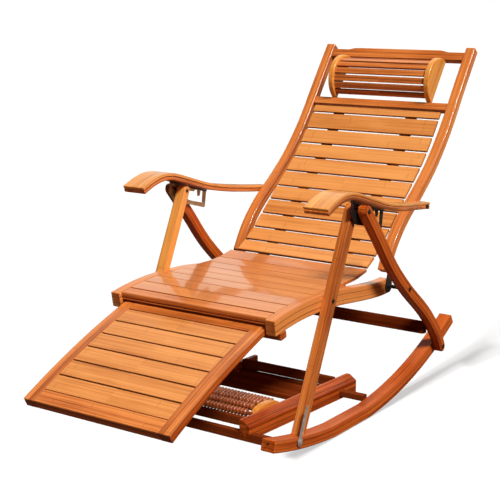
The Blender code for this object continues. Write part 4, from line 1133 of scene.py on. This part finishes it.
class CHAIR_OT_steel(bpy.types.Operator):
    """Brackets under the arms, leg bolts, hinge plates and rock-stop levers"""
    bl_idname = "chair.steel"
    bl_label = "Steel fittings"
    bl_options = {"REGISTER", "UNDO"}

    def execute(self, context):
        arm = smooth_curve(ARM_TOP, 120)
        under = arm - normals(arm) * ARM_THICK
        for tag, s in SIDES.items():
            self.bracket(tag, s, under)
            self.leg_bolt(tag, s)
            self.hinge(tag, s)
            self.lever(tag, s)
        return {"FINISHED"}

    def bracket(self, tag, s, under):
        """Notched plate over the leg bolt and its flange under the arm."""

        def beneath(y, drop):
            return (y, curve_z(under, y) - drop)

        outline = [beneath(y, 0.0008) for y in np.linspace(0.030, 0.189, 9)]
        outline += [(0.1815, 0.4910), beneath(0.110, 0.051), (0.046, 0.524), (0.0215, 0.556)]
        # the window: a channel for the leg bolt, then two prongs
        drops, clear, (y, z) = (0.0056, 0.0062, 0.0110, 0.0195, 0.0215), 0.0062, PIN_PATH[0]
        window = [(y, z - drop) for (y, z), drop in zip(PIN_PATH, drops)]
        window += [(0.1710, 0.5065), (0.1740, 0.5400), (0.1625, 0.5430), (0.1595, 0.5280), (0.1505, 0.5270),
                   (0.1485, 0.5450), (0.1365, 0.5475)]
        window += [(y, z + clear) for y, z in PIN_PATH[::-1]]
        window += [(y - 0.0065, z + 0.0040), (y - 0.0065, z - 0.0030)]
        loops = [filleted(outline, radius=0.006), filleted(window, radius=0.0018)]
        # the sitter's left plate is drawn in black steel as painted shade: it is the same bronzed plate, in shade
        # under the arm
        obj = plate("notched_plate_" + tag, loops, side_plane(s * BRACKET_X),
                    "bronzed_steel" if s < 0 else "black_steel", thick=0.003, edge=0.0004)
        dress(obj, "arm_" + tag, "bronzed_steel", "arm_bracket_" + tag)
        strip = np.array([beneath(y, 0.0) for y in np.linspace(0.034, 0.185, 16)])
        lip_thick, lip_inner, lip_outer = 0.0050, 0.2759, 0.2887
        stations = side_stations(strip, -lip_thick, -GAP, sorted((s * lip_inner, s * lip_outer)))
        # the flange is real, and its black steel on both sides is painted shade of the dark band under the arm
        obj = board("bracket_lip_" + tag, [(stations, 0.5)], "black_steel", radius=0.0006)
        dress(obj, "arm_" + tag, "bronzed_steel")

    def leg_bolt(self, tag, s):
        """Bolt through both leg tops with a domed head outside."""
        inner, face = reach("leg_pin_" + tag)[0], reach("rear_leg_" + tag)[1]
        profile = [(inner, 0.0034), (inner + 0.0006, 0.0040), (face, 0.0040)]
        profile += [(face + out, r) for out, r in ((0.0, 0.0064), (0.0008, 0.0066), (0.0018, 0.0057),
                                                   (0.0024, 0.0035), (0.0026, 0.0010))]
        obj = turned_piece("leg_bolt_" + tag, profile, side(LEG_TOP), s, "black_steel")
        dress(obj, "frame", "black_steel", "leg_pin_" + tag)

    def hinge(self, tag, s):
        """Plate on the stile's foot and the pin it turns on."""
        stile = smooth_curve(STILE_FRONT, 16)
        n = normals(stile)[0]
        a, b = (stile[0] + (stile[1] - stile[0]) * share for share in (0.1, 0.80))
        radius, plane, thick = 0.0175, 0.25155, 0.0025
        round_low = [np.array(HINGE) + radius * np.array((math.cos(t), math.sin(t)))
                     for t in np.radians(np.linspace(20, -215, 15))]
        corners = [a - n * 0.0045, b - n * 0.0060, b - n * 0.0165, a - n * 0.0195]
        obj = plate("hinge_plate_" + tag, [corners + round_low], side_plane(s * plane), "black_steel", thick,
                    edge=0.0004)
        dress(obj, "backrest", "black_steel", "back_hinge_" + tag)
        profile = [(0.2230, 0.0042), (0.2238, 0.0050), (0.3098, 0.0050), (0.3103, 0.0046)]
        obj = turned_piece("hinge_bolt_" + tag, profile, side(HINGE), s, "black_steel")
        dress(obj, "backrest", "black_steel")

    def lever(self, tag, s):
        """Slotted steel strap with a hub; swings forward to the floor."""
        pivot, tip, thick = np.array(LEVER_PIVOT), np.array(LEVER_TIP), 0.003
        inner = reach("rock_stop_lever_" + tag)[0]
        along = (tip - pivot) / np.linalg.norm(tip - pivot)
        beside = np.array((-along[1], along[0]))

        def rounded(start, stop, r0, r1):
            return [end + r * (beside * math.cos(t) - along * math.sin(t)) for end, r in ((start, r0), (stop, -r1))
                    for t in np.linspace(0, math.pi, 13)]

        slot = rounded(pivot + along * 0.022, tip - along * 0.014, 0.0015, 0.0013)
        obj = plate("stop_strap_" + tag, [rounded(pivot, tip, 0.0056, 0.0034), slot],
                    side_plane(s * (inner + thick / 2)), "zinc_steel", thick, edge=0.0005)
        dress(obj, "lever_" + tag, "zinc_steel", "rock_stop_lever_" + tag)
        profile = [(inner + out, r) for out, r in ((0.0030, 0.0105), (0.0038, 0.0105), (0.0040, 0.0072),
                                                   (0.0056, 0.0070), (0.0064, 0.0055), (0.0066, 0.0020))]
        obj = turned_piece("stop_hub_" + tag, profile, side(LEVER_PIVOT), s, "zinc_steel")
        dress(obj, "lever_" + tag, "zinc_steel")


class CHAIR_OT_massager(bpy.types.Operator):
    """Foot massage unit: boards, arched cheeks and beaded rollers"""
    bl_idname = "chair.massager"
    bl_label = "Massage unit"
    bl_options = {"REGISTER", "UNDO"}

    def execute(self, context):
        for tag, s in SIDES.items():
            self.end_board(tag, s)
            self.cheek(tag)
        for name, size, tone in (("rear_bar", (0.018, 0.024), 0.35), ("foot_board", (0.104, 0.012), 0.30),
                                 ("front_bar", (0.016, 0.022), 0.35)):
            cross_bar("unit_" + name, "massager_" + name, -math.atan(UNIT_FALL), tone, radius=0.002, size=size)
        for k in range(ROLLERS):
            self.roller(k, context.scene.chair_sizes.bead / 2)
        return {"FINISHED"}

    def end_board(self, tag, s):
        """Board along the runner with its outer upper edge cut off."""
        low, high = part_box("massager_end_board_" + tag)
        inner, outer = reach("massager_end_board_" + tag)
        bottom, cut_z, cut_x = 0.0245, 0.058, 0.020
        section = [(s * x, z) for x, z in ((inner, bottom), (outer, bottom), (outer, cut_z),
                                           (outer - cut_x, UNIT_TOP), (inner, UNIT_TOP))]
        mid = 0.5 * (low.y + high.y)
        matrix = Matrix(((1, 0, 0, 0), (0, 0, 1, mid), (0, 1, -UNIT_FALL, -UNIT_FALL * (mid - SIDE_Y)),
                         (0, 0, 0, 1)))
        obj = plate("unit_side_" + tag, [section], matrix, "bamboo_red", high.y - low.y, edge=0.0016, tone=0.22,
                    grain=(2, 0, 1))
        dress(obj, "frame", "bamboo_dark", "massager_end_board_" + tag)

    def cheek(self, tag):
        """Arched board that holds the ends of the rollers."""
        low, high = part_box("massager_cheek_" + tag)
        mid, half = 0.5 * (low.y + high.y) - SIDE_Y, 0.5 * (high.y - low.y)
        crown, drop, foot = 0.0835, 0.026, 0.036
        loop = [(mid + t * half, crown - UNIT_FALL * (mid + t * half) - drop * abs(t) ** 3)
                for t in np.linspace(-1, 1, 33)]
        loop += [(y, foot - UNIT_FALL * y) for y in (mid + half, mid - half)]
        obj = plate("roller_cheek_" + tag, [loop], side_plane(0.5 * (low.x + high.x)), "bamboo_pale",
                    high.x - low.x, edge=0.0018, tone=0.35)
        dress(obj, "frame", "bamboo_pale", "massager_cheek_" + tag)

    def roller(self, k, radius):
        """Rod with a row of turned beads."""
        node = "massage_roller_%d" % (k + 1)
        low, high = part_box(node)
        center = 0.5 * (low + high)
        bare, count = 0.030, 24
        pitch = (high.x - low.x - bare) / count
        places = [low.x] + [center.x + pitch * (b - 0.5 * (count - 1)) for b in range(count)] + [high.x]
        inputs = {"Radius": radius, "Width": pitch * 0.72, "Rod radius": 0.005, "Tone spread": 1.0, "Seed": k,
                  "Material": material("bamboo_beads")}
        obj = grown("beaded_rod_%d" % (k + 1), [(x, center.y, center.z) for x in places],
                    {"bead": [0] + [1] * count + [0]}, bead_row, inputs, [(b, b + 1) for b in range(count + 1)])
        dress(obj, "roller_%d" % (k + 1), "bamboo_pale", node)


class CHAIR_OT_bolts(bpy.types.Operator):
    """Bolt heads and screws on the outside of the frame and the arms"""
    bl_idname = "chair.bolts"
    bl_label = "Bolt heads"
    bl_options = {"REGISTER", "UNDO"}

    def execute(self, context):
        head = context.scene.chair_sizes.bolt_head / 2
        bolts, screws = [], []          # rows of place, turn, lift and radius
        for tag, s in SIDES.items():
            outwards = 0.0 if s > 0 else math.pi
            for node, point, radius in (("rear_leg_", (0.500, 0.1085), head), ("rear_leg_", HINGE, head),
                                        ("front_leg_", (-0.0417, 0.3475), head * 0.9)):
                bolts.append((side(point, s * reach(node + tag)[1]), outwards, 0.0, radius))
            x = sum(span("rocker_" + tag)) / 2
            end = rocker_points(ROCKER_HALF, 4)[0]
            for up in (-0.006, 0.0055):
                screws.append((side((end[0] - 0.0002, end[1] + up), x), -math.pi / 2, 0.0, SCREW_RADIUS))
            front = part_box("massager_end_board_" + tag)[0].y
            for y in (front + 0.012, front + 0.030):
                top = UNIT_TOP - UNIT_FALL * (y - SIDE_Y)
                screws.append((Vector((s * 0.155, y, top)), 0.0, -math.pi / 2, SCREW_RADIUS))
            tongue = side((ARM_PIVOT[0] + 0.010, ARM_PIVOT[1] - 0.004), s * BRACKET_X)
            self.heads("arm_bolt_" + tag, "arm_" + tag, [(tongue, outwards, 0.0, head * 1.1)], height=0.0028)
        self.heads("frame_bolts", "frame", bolts, height=0.0024)
        self.heads("frame_screws", "frame", screws, height=0.0006)
        return {"FINISHED"}

    def heads(self, name, body, rows, height):
        places, turns, lifts, radii = zip(*rows)
        obj = grown(name, places, {"turn": turns, "lift": lifts, "size": radii}, bolt_heads,
                    {"Height": height, "Material": material("black_steel")})
        dress(obj, body, "black_steel")


class CHAIR_OT_stage(bpy.types.Operator):
    """White floor that keeps the shadow, soft studio light and the camera"""
    bl_idname = "chair.stage"
    bl_label = "Studio"
    bl_options = {"REGISTER", "UNDO"}

    def execute(self, context):
        self.floor()
        self.world()
        self.lamps()
        self.camera()
        context.scene.view_settings.view_transform = "Standard"
        return {"FINISHED"}

    def floor(self):
        """The camera sees white paper, other rays see a dull floor that throws little light back."""
        half_size, below = 40.0, 0.0005
        bm = bmesh.new()
        bmesh.ops.create_grid(bm, x_segments=1, y_segments=1, size=half_size)
        mesh = bpy.data.meshes.new("floor")
        bm.to_mesh(mesh)
        bm.free()
        floor = bpy.data.objects.new("floor", mesh)
        floor.location.z = -below
        bpy.context.scene.collection.objects.link(floor)
        mat, tree, bsdf = new_material("white_floor")
        tree.nodes.remove(bsdf)
        camera_ray = add(tree, "ShaderNodeLightPath").outputs["Is Camera Ray"]
        dull = add(tree, "ShaderNodeBsdfDiffuse", {"Color": (0.13, 0.09, 0.06, 1.0)})
        paper = add(tree, "ShaderNodeBsdfDiffuse", {"Color": (0.4, 0.4, 0.4, 1.0)})
        glow = add(tree, "ShaderNodeEmission", {"Color": (1.0, 1.0, 1.0, 1.0), "Strength": 0.56})
        seen = add(tree, "ShaderNodeAddShader", (paper, glow))
        mixed = add(tree, "ShaderNodeMixShader", (camera_ray, dull, seen))
        feed(tree, tree.nodes["Material Output"], {"Surface": mixed})
        mesh.materials.append(mat)

    def world(self):
        """White for the camera, a white wall behind the chair for reflections, a weak fill for the rest."""
        world = bpy.data.worlds.new("studio")
        bpy.context.scene.world = world
        world.use_nodes = True
        tree = world.node_tree
        rays = add(tree, "ShaderNodeLightPath").outputs
        place = add(tree, "ShaderNodeTexCoord").outputs["Generated"]
        wall = add(tree, "ShaderNodeMapRange", {"Value": add(tree, "ShaderNodeSeparateXYZ", [place]).outputs["Y"],
                                                "From Min": 0.0, "From Max": 0.45, "To Min": 0.06, "To Max": 1.0})
        # inputs 0, 2 and 3 of a mix are the factor and two numbers, 6 and 7 two colours
        fill = add(tree, "ShaderNodeMix", {0: rays["Is Glossy Ray"], 2: 0.14, 3: wall}, data_type="FLOAT")
        strength = add(tree, "ShaderNodeMix", {0: rays["Is Camera Ray"], 2: fill, 3: 1.0}, data_type="FLOAT")
        # the fill is warm, as light is that comes back from warm-coloured wood
        tint = add(tree, "ShaderNodeMix", {0: rays["Is Camera Ray"], 6: (1.0, 0.86, 0.72, 1.0),
                                           7: (1.0, 1.0, 1.0, 1.0)}, data_type="RGBA").outputs[2]
        feed(tree, tree.nodes["Background"], {"Strength": strength, "Color": tint})

    def lamps(self):
        """Key from the sitter's left and above, a lamp for the rollers, two low ones for the floor's shadow."""
        only_floor = self.group("floor_light", ["floor"])
        not_floor = self.group("key_light", ["floor"], "EXCLUDE")
        runner = self.group("floor_shadow", ["runner_L", "bent_leg_L"])
        no_arm = self.group("key_shadow", ["arm_board_L", "arm_underply_L", "straight_leg_L"], "EXCLUDE")
        rods = self.group("rod_light", ["beaded_rod_%d" % (k + 1) for k in range(ROLLERS)])
        for name, toward, strength, spread, lit, throws in (
                ("key", (-0.56, 0.28, -0.78), 4.45, 14.0, not_floor, no_arm),
                ("rod_lamp", (-0.36, 0.30, -0.88), 5.5, 12.0, rods, rods),
                ("floor_lamp", (-0.08, 0.91, -0.40), 4.4, 6.0, only_floor, runner),
                ("floor_lamp_low", (0.03, 0.90, -0.44), 4.0, 6.0, only_floor, runner)):
            data = bpy.data.lights.new(name, "SUN")
            data.energy = strength
            data.angle = math.radians(spread)
            lamp = bpy.data.objects.new(name, data)
            lamp.rotation_mode = "QUATERNION"
            lamp.rotation_quaternion = Vector(toward).to_track_quat("-Z", "Y")
            lamp.light_linking.receiver_collection = lit
            lamp.light_linking.blocker_collection = throws
            bpy.context.scene.collection.objects.link(lamp)

    def group(self, name, objects, state="INCLUDE"):
        """Collection outside the scene that tells a lamp which objects it lights or which ones throw shadows."""
        made = bpy.data.collections.new(name)
        for k, key in enumerate(objects):
            made.objects.link(bpy.data.objects[key])
            made.collection_objects[k].light_linking.link_state = state
        return made

    def camera(self):
        """The photo's view, from the sitter's front left."""
        azimuth, elevation, distance = math.radians(34.8), math.radians(11.98), 3.136
        target = side((0.0, 0.434))
        back = Vector((math.sin(azimuth) * math.cos(elevation), -math.cos(azimuth) * math.cos(elevation),
                       math.sin(elevation)))
        data = bpy.data.cameras.new("photo_view")
        data.sensor_width = 36.0
        data.lens = 87.65
        camera = bpy.data.objects.new("photo_view", data)
        camera.location = target + back * distance
        camera.rotation_mode = "QUATERNION"
        camera.rotation_quaternion = (-back).to_track_quat("-Z", "Y")
        bpy.context.scene.collection.objects.link(camera)
        bpy.context.scene.camera = camera


OPERATORS = (CHAIR_OT_rockers, CHAIR_OT_legs, CHAIR_OT_seat, CHAIR_OT_footrest, CHAIR_OT_back, CHAIR_OT_headrest,
             CHAIR_OT_arms, CHAIR_OT_steel, CHAIR_OT_massager, CHAIR_OT_bolts, CHAIR_OT_stage)


class CHAIR_PT_panel(bpy.types.Panel):
    """Lists the chair's operators"""
    bl_idname = "CHAIR_PT_panel"
    bl_label = "Bamboo chair"
    bl_space_type = "VIEW_3D"
    bl_region_type = "UI"
    bl_category = "Chair"

    def draw(self, context):
        for operator in OPERATORS:
            self.layout.operator(operator.bl_idname)


CLASSES = (ChairColours, ChairSizes, *OPERATORS, CHAIR_PT_panel)


def register():
    for item in CLASSES:
        bpy.utils.register_class(item)
    bpy.types.Scene.chair_colours = bpy.props.PointerProperty(type=ChairColours)
    bpy.types.Scene.chair_sizes = bpy.props.PointerProperty(type=ChairSizes)


def unregister():
    del bpy.types.Scene.chair_colours
    del bpy.types.Scene.chair_sizes
    for item in reversed(CLASSES):
        bpy.utils.unregister_class(item)


def main():
    register()
    for operator in OPERATORS:
        group, name = operator.bl_idname.split(".")
        getattr(getattr(bpy.ops, group), name)()


if __name__ == "__main__":
    main()
